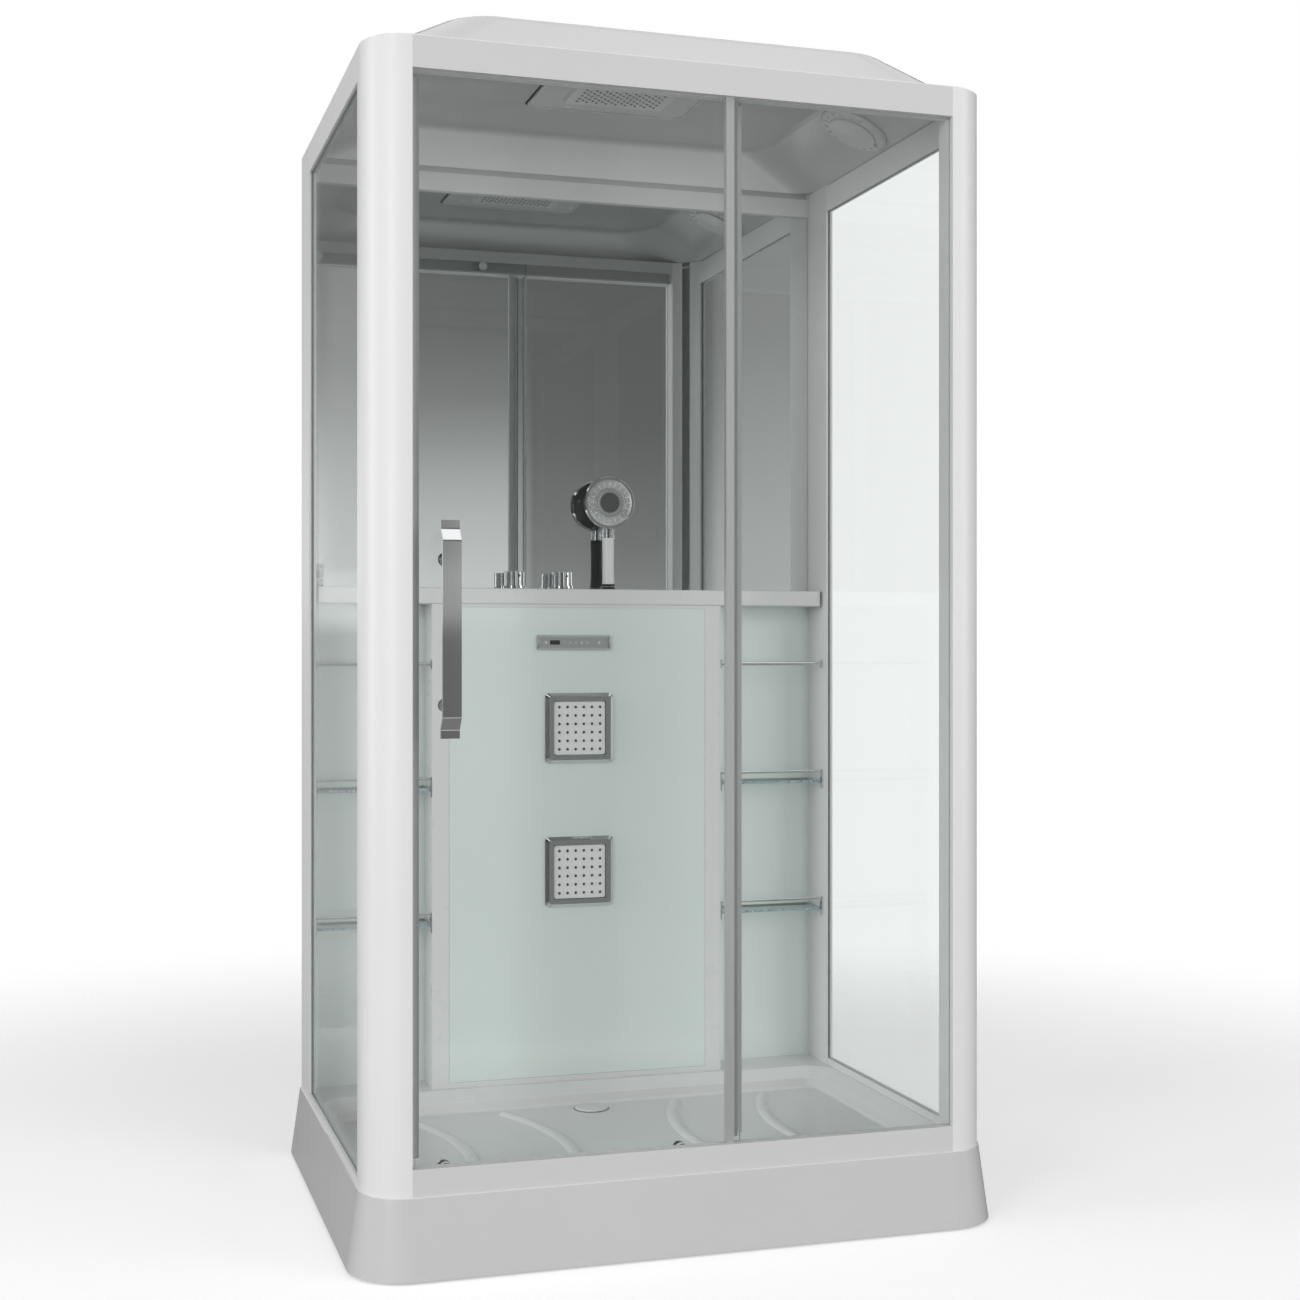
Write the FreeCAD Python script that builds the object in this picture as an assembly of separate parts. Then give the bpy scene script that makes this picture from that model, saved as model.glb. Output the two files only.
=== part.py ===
import FreeCAD
import Part
import math
import os

from FreeCAD import Vector

# Shower cabin: a moulded tray on a steel frame, four upright profiles and the rails between them,
# glass on three sides, a sliding front door on rollers, a mirrored rear wall with a fitted column,
# and a moulded roof.
# Millimetres. +X is to the right seen from the front, +Y to the rear wall, +Z up.
# The origin is on the floor under the middle of the tray.

os.makedirs("parts", exist_ok=True)

# Driving dimensions of the whole cabin
tray_width = 1200.0
tray_depth = 900.0
rim_height = 140.0
frame_setback = 22.0
frame_rear_setback = 2.0
frame_height = 1954.0
roof_rise = 74.0
column_width = 640.0
column_to_rear = 105.0
ledge_height = 1191.0
glass_thickness = 5.0

# Clearances
overrun = 5.0
glass_play = 0.25
seat_gap = 0.3
running_gap = 0.05
panel_play = 0.5
height_tolerance = 0.05
parallel_share = 0.99

# Datums that follow from them
rim_z = rim_height
tray_front = -tray_depth / 2
tray_rear = tray_depth / 2
frame_half = tray_width / 2 - frame_setback
frame_front = tray_front + frame_setback
frame_rear = tray_rear - frame_rear_setback
frame_top = rim_z + frame_height
column_half = column_width / 2
column_front = frame_rear - column_to_rear

x_axis = Vector(1, 0, 0)
y_axis = Vector(0, 1, 0)
z_axis = Vector(0, 0, 1)


def block(low, high):
    """A box between its low and high corners."""
    size = high.sub(low)
    return Part.makeBox(size.x, size.y, size.z, low)


def rod(start, end, radius):
    """A round bar between two points."""
    run = end.sub(start)
    return Part.makeCylinder(radius, run.Length, start, run)


def fuse_all(shapes):
    """One solid from several that touch or overlap."""
    return shapes[0].multiFuse(shapes[1:]).removeSplitter()


def mirrored(shape):
    """The left-hand twin of a right-hand piece."""
    return shape.mirror(Vector(0, 0, 0), x_axis)


def both_sides(shapes):
    """Right-hand pieces and their left-hand twins in one group."""
    return Part.makeCompound(shapes + [mirrored(shape) for shape in shapes])


def polygon_prism(points, run):
    """A prism on a closed polygon."""
    wire = Part.makePolygon(points + [points[0]])
    return Part.Face(wire).extrude(run)


def rounded_outline(low_x, high_x, low_y, high_y, radii, z):
    """A closed outline in plan. The radii run from front left to rear left, and zero is square."""
    corners = [(low_x, low_y, 1, 1), (high_x, low_y, -1, 1), (high_x, high_y, -1, -1), (low_x, high_y, 1, -1)]
    bends = []
    for number, ((x, y, in_x, in_y), radius) in enumerate(zip(corners, radii)):
        along_x = Vector(x + in_x * radius, y, z)
        along_y = Vector(x, y + in_y * radius, z)
        start, end = (along_x, along_y) if number % 2 else (along_y, along_x)
        centre = Vector(x + in_x * radius, y + in_y * radius, z)
        bends.append((start, centre - Vector(in_x, in_y, 0).normalize() * radius, end))
    edges = []
    for number, (start, middle, end) in enumerate(bends):
        if start != end:
            edges.append(Part.Arc(start, middle, end).toShape())
        next_start = bends[(number + 1) % len(bends)][0]
        edges.append(Part.LineSegment(end, next_start).toShape())
    return Part.Wire(edges)


def runs_along(edge, way):
    """Whether an edge is parallel to a direction."""
    return abs(edge.tangentAt(edge.FirstParameter).dot(way)) > parallel_share


def plate_with_round_corners(low, high, radius, along):
    """A flat plate with round corners, standing square to the y or the z axis."""
    plate = block(low, high)
    return plate.makeFillet(radius, [edge for edge in plate.Edges if runs_along(edge, along)])


def edges_at_height(shape, z):
    """The level edges of a shape that lie at one height."""
    found = []
    for edge in shape.Edges:
        bounds = edge.BoundBox
        if abs(bounds.ZMin - z) < height_tolerance and abs(bounds.ZMax - z) < height_tolerance:
            found.append(edge)
    return found


def turned(profile_points, axis_point, axis):
    """A solid of revolution from a closed profile."""
    wire = Part.makePolygon(profile_points + [profile_points[0]])
    return Part.Face(wire).revolve(axis_point, axis, 360)


def pipe(points, bends, radius):
    """A pipe along straight runs joined by tangent arcs. Each inner point has its own bend radius."""
    path = []
    start = points[0]
    for before, corner, after, bend in zip(points, points[1:], points[2:], bends):
        way_in = (corner - before).normalize()
        way_out = (after - corner).normalize()
        turn = way_in.getAngle(way_out)
        setback = bend * math.tan(turn / 2)
        arc_start = corner - way_in * setback
        arc_end = corner + way_out * setback
        to_centre = (way_out - way_in).normalize()
        middle = corner + to_centre * (bend / math.cos(turn / 2) - bend)
        path.append(Part.LineSegment(start, arc_start).toShape())
        path.append(Part.Arc(arc_start, middle, arc_end).toShape())
        start = arc_end
    path.append(Part.LineSegment(start, points[-1]).toShape())
    spine = Part.Wire(path)
    first_way = (points[1] - points[0]).normalize()
    section = Part.Wire([Part.makeCircle(radius, points[0], first_way)])
    return spine.makePipeShell([section], True, False)


pieces = {}


def keep(name, shape):
    """Notes a finished piece under its node name."""
    pieces[name] = shape


# Shower tray: a thermoformed shell with a flared apron, a stepped basin, curved ribs and a drain seat
tray_wall = 5.0
apron_gap = 4.0
apron_corner_radius = 100.0
rim_corner_radius = 80.0
rim_margin = 3.0
rear_lip = 32.0
basin_side_margin = 20.0
basin_front_margin = 62.0
basin_rear_margin = 18.0
basin_corner_radius = 62.0
step_drop = 21.0
step_run = 26.0
floor_drop = 20.0
floor_run = 11.0
apron_edge_radius = 2.0
rim_edge_radius = 4.0
step_edge_radius = 6.0
floor_edge_radius = 10.0
rib_bend_radius = 620.0
rib_width = 26.0
rib_height = 6.0
inner_rib_offset = 122.0
outer_rib_offset = 320.0
rib_front_margin = 65.0
rib_rear_margin = 74.0
drain_to_rear = 202.0
drain_hole_radius = 28.0
drain_seat_radius = 38.0
drain_seat_depth = 2.0

step_z = rim_z - step_drop
floor_z = step_z - floor_drop
tray_half = tray_width / 2
rim_half = frame_half + rim_margin
rim_front = frame_front - rim_margin
basin_half = frame_half - basin_side_margin
basin_front = frame_front + basin_front_margin
basin_rear = column_front - basin_rear_margin
rib_front = basin_front + rib_front_margin
rib_rear = basin_rear - rib_rear_margin
rib_middle_y = (rib_front + rib_rear) / 2
rib_half_length = (rib_rear - rib_front) / 2
drain_y = tray_rear - drain_to_rear


def tray_block(inset, bottom, top):
    """The flared outside of the tray, moved inwards by an inset, between two heights, with a flat rear."""
    slope_side = (tray_half - rim_half) / (rim_z - apron_gap)
    slope_front = (rim_front - tray_front) / (rim_z - apron_gap)
    slope_radius = (apron_corner_radius - rim_corner_radius) / (rim_z - apron_gap)
    outlines = []
    for z in (bottom, top):
        climb = z - apron_gap
        half = tray_half - slope_side * climb - inset
        front = tray_front + slope_front * climb + inset
        radius = apron_corner_radius - slope_radius * climb - inset
        outlines.append(rounded_outline(-half, half, front, tray_rear + overrun, (radius, radius, 0, 0), z))
    behind = block(Vector(-tray_width, tray_rear, bottom), Vector(tray_width, tray_rear + overrun, top))
    return Part.makeLoft(outlines, True, True).cut(behind)


def basin_block(margin, sink):
    """The basin as a solid, grown sideways by a margin and sunk deeper, for the inside or the underside."""
    outlines = []
    for z, run in ((rim_z + overrun, 0), (rim_z, 0), (step_z, step_run), (floor_z, step_run + floor_run)):
        half = basin_half - run + margin
        radius = basin_corner_radius - run + margin
        outlines.append(rounded_outline(-half, half, basin_front + run - margin, basin_rear - run + margin,
                                        (radius,) * 4, z - sink))
    basin = Part.makeLoft(outlines, True, True)
    basin = basin.makeFillet(step_edge_radius, edges_at_height(basin, step_z - sink))
    return basin.makeFillet(floor_edge_radius + margin, edges_at_height(basin, floor_z - sink))


def floor_rib(offset, side):
    """One raised rib, a shallow arc that bows towards the middle of the tray, with round ends."""
    wire_radius = (rib_width ** 2 / 4 + rib_height ** 2) / (2 * rib_height)
    centre_z = floor_z + rib_height - wire_radius
    centre = Vector(side * (offset + rib_bend_radius), rib_middle_y, centre_z)
    half_angle = math.degrees(math.asin(rib_half_length / rib_bend_radius))
    start_angle = 180 - half_angle if side > 0 else -half_angle
    ring = Part.makeTorus(rib_bend_radius, wire_radius, Vector(0, 0, 0), z_axis, -180, 180, 2 * half_angle)
    ring.rotate(Vector(0, 0, 0), z_axis, start_angle)
    ring.translate(centre)
    ends = []
    for angle in (start_angle, start_angle + 2 * half_angle):
        way = Vector(math.cos(math.radians(angle)), math.sin(math.radians(angle)), 0)
        ends.append(Part.makeSphere(wire_radius, centre + way * rib_bend_radius))
    return ring.multiFuse(ends)


def shower_tray():
    """The tray's shell."""
    body = tray_block(0, apron_gap, rim_z)
    outer_rims = [edge for edge in edges_at_height(body, rim_z)
                  if edge.BoundBox.YMin < tray_rear - overrun]
    body = body.makeFillet(apron_edge_radius, outer_rims).cut(basin_block(0, 0))
    inner_rims = [edge for edge in edges_at_height(body, rim_z)
                  if edge.BoundBox.YMin > frame_front and edge.BoundBox.YMax < column_front
                  and edge.BoundBox.XMin > -frame_half and edge.BoundBox.XMax < frame_half]
    body = body.makeFillet(rim_edge_radius, inner_rims)
    for side in (-1, 1):
        for offset in (inner_rib_offset, outer_rib_offset):
            rib = floor_rib(offset, side)
            body = body.fuse(rib.common(basin_block(tray_wall / 2, tray_wall / 2)))
    hollow = tray_block(tray_wall, apron_gap - overrun, rim_z - tray_wall)
    open_rear = block(Vector(tray_wall - rim_half, tray_rear - tray_wall - overrun, apron_gap - overrun),
                      Vector(rim_half - tray_wall, tray_rear + overrun, rim_z - rear_lip))
    under = hollow.fuse(open_rear).cut(basin_block(tray_wall, tray_wall))
    rear_lip_wall = block(Vector(-rim_half, tray_rear - tray_wall, rim_z - rear_lip),
                          Vector(rim_half, tray_rear, rim_z - tray_wall))
    body = body.cut(under.cut(rear_lip_wall))
    above = Vector(0, drain_y, rim_z)
    hole = rod(Vector(0, drain_y, floor_z - tray_wall - overrun), above, drain_hole_radius)
    seat = rod(Vector(0, drain_y, floor_z - drain_seat_depth), above, drain_seat_radius)
    return body.cut(hole).cut(seat)


keep("shower_tray", shower_tray())


# Drain: flange and throat, gasket, trap with its outlet spigot, and the lift-off cover
cover_radius = 35.0
cover_thickness = 4.0
cover_crown = 1.0
cover_skirt_radius = 23.0
cover_skirt_wall = 2.0
cover_skirt_depth = 14.0
flange_radius = 36.0
flange_thickness = 2.5
throat_radius = 27.5
throat_wall = 3.5
throat_length = 22.0
gasket_thickness = 3.0
gasket_radius = 42.0
trap_radius = 45.0
trap_wall = 3.0
trap_top_thickness = 6.0
trap_height = 66.0
spigot_radius = 20.0
spigot_wall = 2.0
spigot_drop = 30.0
spigot_reach = 48.0
spigot_root_radius = 21.5

seat_z = floor_z - drain_seat_depth
tray_under_z = floor_z - tray_wall
trap_top_z = tray_under_z - gasket_thickness
trap_bottom_z = trap_top_z - trap_height
spigot_z = trap_top_z - spigot_drop


def turned_on_drain(radii_and_heights):
    """A solid of revolution about the drain's upright axis."""
    profile = [Vector(radius, drain_y, z) for radius, z in radii_and_heights]
    return turned(profile, Vector(0, drain_y, 0), z_axis)


def drain_flange():
    """The flange that clamps the tray, with its throat."""
    throat_bottom = seat_z - throat_length
    top = seat_z + flange_thickness
    bore = throat_radius - throat_wall
    return turned_on_drain([
        (bore, throat_bottom), (throat_radius, throat_bottom), (throat_radius, seat_z),
        (flange_radius, seat_z), (flange_radius - flange_thickness, top), (bore, top)])


def drain_cover():
    """The round cover: a crowned disc with a skirt that drops into the throat."""
    bottom = seat_z + flange_thickness + seat_gap
    top = bottom + cover_thickness
    edge = cover_thickness / 2
    skirt_inner = cover_skirt_radius - cover_skirt_wall
    skirt_bottom = bottom - cover_skirt_depth
    return turned_on_drain([
        (0, bottom), (skirt_inner, bottom), (skirt_inner, skirt_bottom), (cover_skirt_radius, skirt_bottom),
        (cover_skirt_radius, bottom), (cover_radius, bottom), (cover_radius, bottom + edge),
        (cover_radius - edge, top), (0, top + cover_crown)])


def drain_trap():
    """The low trap: a cup with a clamping top and an outlet to the rear."""
    throat_bore = throat_radius + seat_gap
    inner = trap_radius - trap_wall
    inner_bottom = trap_bottom_z + trap_wall
    roof_z = trap_top_z - trap_top_thickness
    cup = turned_on_drain([
        (throat_bore, trap_top_z), (trap_radius, trap_top_z), (trap_radius, inner_bottom),
        (inner, trap_bottom_z), (0, trap_bottom_z), (0, inner_bottom), (inner, inner_bottom),
        (inner, roof_z), (throat_bore, roof_z)])
    root = Vector(0, drain_y + inner, spigot_z)
    tip = Vector(0, frame_rear, spigot_z)
    shoulder = tip - y_axis * spigot_reach
    spigot = rod(root, shoulder, spigot_root_radius).fuse(rod(shoulder, tip, spigot_radius))
    bore = rod(root - y_axis * spigot_radius, tip + y_axis * overrun, spigot_radius - spigot_wall)
    return cup.fuse(spigot).cut(bore)


gasket_low = Vector(0, drain_y, trap_top_z)
gasket_high = Vector(0, drain_y, tray_under_z)
gasket_bore = rod(gasket_low - z_axis * overrun, gasket_high + z_axis * overrun, throat_radius + seat_gap)
keep("drain_flange", drain_flange())
keep("drain_gasket", rod(gasket_low, gasket_high, gasket_radius).cut(gasket_bore))
keep("drain_trap", drain_trap())
keep("drain_cover", drain_cover())


# Tray frame: a welded ladder of square tube with uprights under the rear deck, on screw feet with lock nuts
tube_size = 25.0
tube_wall = 2.0
outer_bearer_inset = 100.0
inner_bearer_share = 0.34
bearer_front_margin = 95.0
bearer_rear_margin = 26.0
front_tie_inset = 55.0
rear_tie_to_drain = 82.0
upright_inset = 24.0
stud_radius = 6.0
stud_into_tube = 12.0
pad_radius = 25.0
pad_height = 9.0
pad_neck_radius = 11.0
pad_neck_height = 7.0
nut_radius = 11.0
nut_height = 7.0
nut_sides = 6

tube_top_z = tray_under_z
tube_bottom_z = tube_top_z - tube_size
bearer_front = tray_front + bearer_front_margin
bearer_rear = tray_rear - bearer_rear_margin
outer_bearer_x = tray_half - outer_bearer_inset
inner_bearer_x = outer_bearer_x * inner_bearer_share
front_tie_y = bearer_front + front_tie_inset
rear_tie_y = drain_y - rear_tie_to_drain
upright_y = bearer_rear - upright_inset
bearer_places = (-outer_bearer_x, -inner_bearer_x, inner_bearer_x, outer_bearer_x)
foot_rows = (front_tie_y, upright_y)


def tube_bars(inset):
    """All bars of the ladder as solid bars, drawn in by an inset on their sides."""
    reach = tube_size / 2 - inset
    low_z = tube_bottom_z + inset
    high_z = tube_top_z - inset
    upright_top = rim_z - tray_wall - inset
    bars = []
    for x in bearer_places:
        bars.append(block(Vector(x - reach, bearer_front + inset, low_z),
                          Vector(x + reach, bearer_rear - inset, high_z)))
        bars.append(block(Vector(x - reach, upright_y - reach, low_z),
                          Vector(x + reach, upright_y + reach, upright_top)))
    for y in (front_tie_y, rear_tie_y):
        bars.append(block(Vector(-outer_bearer_x, y - reach, low_z),
                          Vector(outer_bearer_x, y + reach, high_z)))
    return fuse_all(bars)


def foot_places():
    """The middle of each foot on the floor."""
    return [Vector(x, y, 0) for x in bearer_places for y in foot_rows]


def tray_frame():
    """The hollow welded ladder with a hole for each foot stud."""
    ladder = tube_bars(0).cut(tube_bars(tube_wall))
    hole_bottom = z_axis * (tube_bottom_z - overrun)
    hole_top = z_axis * (tube_bottom_z + tube_wall + overrun)
    holes = [rod(place + hole_bottom, place + hole_top, stud_radius + seat_gap) for place in foot_places()]
    return ladder.cut(Part.makeCompound(holes))


def levelling_foot(place):
    """One foot: pad, neck and stud in one."""
    stud_top = tube_bottom_z + stud_into_tube
    neck_top = pad_height + pad_neck_height
    radii_and_heights = [(0, 0), (pad_radius, 0), (pad_radius, pad_height / 2), (pad_neck_radius, pad_height),
                         (pad_neck_radius, neck_top), (stud_radius, neck_top), (stud_radius, stud_top),
                         (0, stud_top)]
    profile = [Vector(radius, 0, height) for radius, height in radii_and_heights]
    foot = turned(profile, Vector(0, 0, 0), z_axis)
    foot.translate(place)
    return foot


def lock_nut(place):
    """The hexagon nut that holds a stud against the tube."""
    low_z = tube_bottom_z - nut_height
    corners = []
    for number in range(nut_sides):
        angle = math.radians(360 * number / nut_sides)
        corners.append(place + Vector(nut_radius * math.cos(angle), nut_radius * math.sin(angle), low_z))
    nut = polygon_prism(corners, z_axis * nut_height)
    bore_end = place + z_axis * (tube_bottom_z + overrun)
    return nut.cut(rod(place + z_axis * (low_z - overrun), bore_end, stud_radius + running_gap))


keep("tray_frame", tray_frame())
keep("levelling_feet", Part.makeCompound([levelling_foot(place) for place in foot_places()]))
keep("foot_lock_nuts", Part.makeCompound([lock_nut(place) for place in foot_places()]))


# Upright profiles: quarter-round front posts and flat rear profiles, with slots for the side glass
post_front_width = 78.0
post_side_depth = 100.0
post_corner_radius = 76.0
post_jamb_depth = 58.0
post_cove = 10.0
profile_wall = 2.2
side_thickness = 15.0
glass_seat = 12.0
rear_profile_depth = 122.0
rear_flange_width = 25.0
rear_flange_thickness = 9.0
front_groove_depth = 9.0
front_glass_setback = 12.0

seam_half = frame_half - post_front_width
inner_half = frame_half - side_thickness
slot_width = glass_thickness + 2 * glass_play
side_slot_outer = frame_half - (side_thickness - slot_width) / 2
side_slot_inner = side_slot_outer - slot_width
post_end_y = frame_front + post_side_depth
rear_profile_y = frame_rear - rear_profile_depth
fixed_glass_front = frame_front + front_glass_setback
rear_flange_y = frame_rear - rear_flange_thickness


def on_post(across, back):
    """A point of the right-hand front post's section, measured from the seam at the front."""
    return Vector(seam_half + across, frame_front + back, rim_z)


def arc_through(start, middle, end):
    """An arc as an edge."""
    return Part.Arc(start, middle, end).toShape()


def line(start, end):
    """A straight edge."""
    return Part.LineSegment(start, end).toShape()


def front_post():
    """The right-hand front post: a hollow quarter-round with a jamb, an inner cove and glass slots."""
    round_across = post_front_width - post_corner_radius
    lip_inner = post_front_width - side_thickness
    diagonal = Vector(1, -1, 0).normalize()
    round_centre = on_post(round_across, post_corner_radius)
    cove_way = Vector(post_side_depth - post_jamb_depth, -lip_inner, 0).normalize()
    cove_chord = (on_post(0, post_jamb_depth) + on_post(lip_inner, post_side_depth)) * 0.5
    outer = Part.Wire([
        line(on_post(0, 0), on_post(round_across, 0)),
        arc_through(on_post(round_across, 0), round_centre + diagonal * post_corner_radius,
                    on_post(post_front_width, post_corner_radius)),
        line(on_post(post_front_width, post_corner_radius), on_post(post_front_width, post_side_depth)),
        line(on_post(post_front_width, post_side_depth), on_post(lip_inner, post_side_depth)),
        arc_through(on_post(lip_inner, post_side_depth), cove_chord + cove_way * post_cove,
                    on_post(0, post_jamb_depth)),
        line(on_post(0, post_jamb_depth), on_post(0, 0)),
    ])
    room_across = front_groove_depth + profile_wall
    room_radius = post_corner_radius - profile_wall
    room_side = post_front_width - profile_wall
    room_back = post_side_depth - glass_seat - profile_wall
    room_rise = math.sqrt(room_radius ** 2 - (room_across - round_across) ** 2)
    round_start = on_post(room_across, post_corner_radius - room_rise)
    round_end = on_post(room_side, post_corner_radius)
    lip_corner = on_post(lip_inner - profile_wall, room_back)
    jamb_corner = on_post(room_across, post_jamb_depth - profile_wall)
    room = Part.Wire([
        line(jamb_corner, round_start),
        arc_through(round_start, round_centre + diagonal * room_radius, round_end),
        line(round_end, on_post(room_side, room_back)),
        line(on_post(room_side, room_back), lip_corner),
        line(lip_corner, jamb_corner),
    ])
    height = z_axis * frame_height
    body = Part.Face(outer).extrude(height).cut(Part.Face(room).extrude(height))
    side_slot = block(Vector(side_slot_inner, post_end_y - glass_seat, rim_z),
                      Vector(side_slot_outer, post_end_y + overrun, frame_top))
    groove_back = fixed_glass_front + glass_thickness + glass_play
    front_groove = block(Vector(seam_half - overrun, fixed_glass_front - glass_play, rim_z),
                         Vector(seam_half + front_groove_depth, groove_back, frame_top))
    return body.cut(side_slot).cut(front_groove)


def rear_profile():
    """The right-hand rear profile: a hollow leg with a glass slot and a flange behind the panels."""
    leg = block(Vector(inner_half, rear_profile_y, rim_z), Vector(frame_half, frame_rear, frame_top))
    hollow_front = rear_profile_y + glass_seat + profile_wall
    hollow = block(Vector(inner_half + profile_wall, hollow_front, rim_z - overrun),
                   Vector(frame_half - profile_wall, frame_rear - profile_wall, frame_top + overrun))
    slot = block(Vector(side_slot_inner, rear_profile_y - overrun, rim_z - overrun),
                 Vector(side_slot_outer, rear_profile_y + glass_seat, frame_top + overrun))
    flange = block(Vector(inner_half - rear_flange_width, rear_flange_y, rim_z),
                   Vector(inner_half + profile_wall, frame_rear, frame_top - rear_rail_height))
    return leg.cut(hollow).cut(slot).fuse(flange)


# Rails: hollow top and bottom rails with the glass slot and the roller track, and plain side and rear rails
front_top_height = 54.0
front_bottom_height = 46.0
box_depth = 25.0
track_reach = 37.0
track_thickness = 5.0
bottom_track_height = 25.5
trough_floor = 6.0
trough_lip_height = 12.0
lip_thickness = 4.0
hanging_lip = 28.0
front_slot_depth = 14.0
side_top_height = 58.0
sill_height = 14.0
sill_slot_depth = 8.0
rear_rail_height = 51.0
rear_rail_depth = 24.0
mirror_setback = 14.0
mirror_slot_depth = 20.0
rear_sill_height = 50.0
riser_notch_half = 7.0
riser_x = -28.0

rail_end = seam_half
mirror_front = frame_rear - mirror_setback
mirror_back = mirror_front + glass_thickness
front_slot_low = front_glass_setback - glass_play
front_slot_high = front_glass_setback + glass_thickness + glass_play


def front_rail(section, hollow_low, hollow_high):
    """A front rail from its section and its hollow, given as depth behind the front and height."""
    points = [Vector(-rail_end, frame_front + back, z) for back, z in section]
    body = polygon_prism(points, x_axis * 2 * rail_end)
    hollow = block(Vector(-rail_end - overrun, frame_front + hollow_low[0], hollow_low[1]),
                   Vector(rail_end + overrun, frame_front + hollow_high[0], hollow_high[1]))
    return body.cut(hollow)


def front_top_rail():
    """The top rail: a box that holds the fixed glass, a roller ledge, and a web with a hanging lip."""
    bottom = frame_top - front_top_height
    slot_top = bottom + front_slot_depth
    ledge_z = bottom + track_thickness
    web_z = frame_top - lip_thickness
    lip_z = frame_top - hanging_lip
    lip_front = post_jamb_depth - lip_thickness
    section = [(0, bottom), (0, frame_top), (post_jamb_depth, frame_top), (post_jamb_depth, lip_z),
               (lip_front, lip_z), (lip_front, web_z), (box_depth, web_z), (box_depth, ledge_z),
               (track_reach, ledge_z), (track_reach, bottom), (front_slot_high, bottom),
               (front_slot_high, slot_top), (front_slot_low, slot_top), (front_slot_low, bottom)]
    return front_rail(section, (profile_wall, slot_top + profile_wall), (box_depth - profile_wall, web_z))


def front_bottom_rail():
    """The bottom rail: a box that holds the fixed glass, a roller ledge, and a trough with a drip lip."""
    top = rim_z + front_bottom_height
    slot_bottom = top - front_slot_depth
    ledge_z = rim_z + bottom_track_height
    trough_z = rim_z + trough_floor
    lip_z = rim_z + trough_lip_height
    lip_front = post_jamb_depth - lip_thickness
    section = [(0, rim_z), (0, top), (front_slot_low, top), (front_slot_low, slot_bottom),
               (front_slot_high, slot_bottom), (front_slot_high, top), (box_depth, top),
               (box_depth, ledge_z), (track_reach, ledge_z), (track_reach, trough_z),
               (lip_front, trough_z), (lip_front, lip_z), (post_jamb_depth, lip_z), (post_jamb_depth, rim_z)]
    return front_rail(section, (profile_wall, rim_z + profile_wall),
                      (box_depth - profile_wall, slot_bottom - profile_wall))


def side_rail(low_z, high_z, slot_low_z, slot_high_z):
    """A right-hand side rail with its glass slot."""
    body = block(Vector(inner_half, post_end_y, low_z), Vector(frame_half, rear_profile_y, high_z))
    slot = block(Vector(side_slot_inner, post_end_y - overrun, slot_low_z),
                 Vector(side_slot_outer, rear_profile_y + overrun, slot_high_z))
    return body.cut(slot)


def side_top_rail():
    """The right-hand top rail, hollow over its slot."""
    bottom = frame_top - side_top_height
    slot_top = bottom + glass_seat
    body = side_rail(bottom, frame_top, bottom - overrun, slot_top)
    hollow = block(Vector(inner_half + profile_wall, post_end_y - overrun, slot_top + profile_wall),
                   Vector(frame_half - profile_wall, rear_profile_y + overrun, frame_top - profile_wall))
    return body.cut(hollow)


def side_sill():
    """The thin right-hand profile between the side glass and the tray's rim."""
    top = rim_z + sill_height
    return side_rail(rim_z, top, top - sill_slot_depth, top + overrun)


def riser_notch(low_z, high_z):
    """The gap at the back of the frame through which the riser to the rain head passes."""
    return block(Vector(riser_x - riser_notch_half, mirror_back - glass_play, low_z),
                 Vector(riser_x + riser_notch_half, frame_rear + overrun, high_z))


def rear_top_rail():
    """The rail over the mirror, with the slot that takes the mirror's upper edge."""
    bottom = frame_top - rear_rail_height
    front = frame_rear - rear_rail_depth
    slot_top = bottom + mirror_slot_depth
    cut_end = inner_half + overrun
    body = block(Vector(-inner_half, front, bottom), Vector(inner_half, frame_rear, frame_top))
    slot = block(Vector(-cut_end, mirror_front - glass_play, bottom - overrun),
                 Vector(cut_end, mirror_back + glass_play, slot_top))
    hollow = block(Vector(-cut_end, front + profile_wall, slot_top + profile_wall),
                   Vector(cut_end, frame_rear - profile_wall, frame_top - profile_wall))
    return body.cut(slot).cut(hollow).cut(riser_notch(bottom - overrun, frame_top + overrun))


right_front_post = front_post()
keep("right_front_post", right_front_post)
keep("left_front_post", mirrored(right_front_post))
keep("rear_profiles", both_sides([rear_profile()]))
keep("front_top_rail", front_top_rail())
keep("front_bottom_rail", front_bottom_rail())
keep("side_top_rails", both_sides([side_top_rail()]))
keep("side_sills", both_sides([side_sill()]))
keep("rear_top_rail", rear_top_rail())
keep("rear_sill", block(Vector(rear_flange_width - inner_half, rear_flange_y, rim_z),
                        Vector(inner_half - rear_flange_width, frame_rear, rim_z + rear_sill_height)))


# Side glass and fixed front glass, with the edge profile and overlap seal of the fixed glass
glass_end_gap = 1.5
fixed_glass_left = 65.0
edge_profile_width = 15.0
edge_profile_lip = 3.0
edge_profile_wall = 3.5
seal_width = 9.0
seal_base = 3.0
seal_fin = 2.0

fixed_glass_back = fixed_glass_front + glass_thickness
top_rail_bottom = frame_top - front_top_height
bottom_rail_top = rim_z + front_bottom_height


def side_glass():
    """The right-hand side glass, seated in the posts, the sill and the top rail."""
    low = Vector(side_slot_inner + glass_play, post_end_y - glass_seat + glass_end_gap,
                 rim_z + sill_height - sill_slot_depth + glass_end_gap)
    high = Vector(side_slot_outer - glass_play, rear_profile_y + glass_seat - glass_end_gap,
                  frame_top - side_top_height + glass_seat - glass_end_gap)
    return block(low, high)


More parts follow.
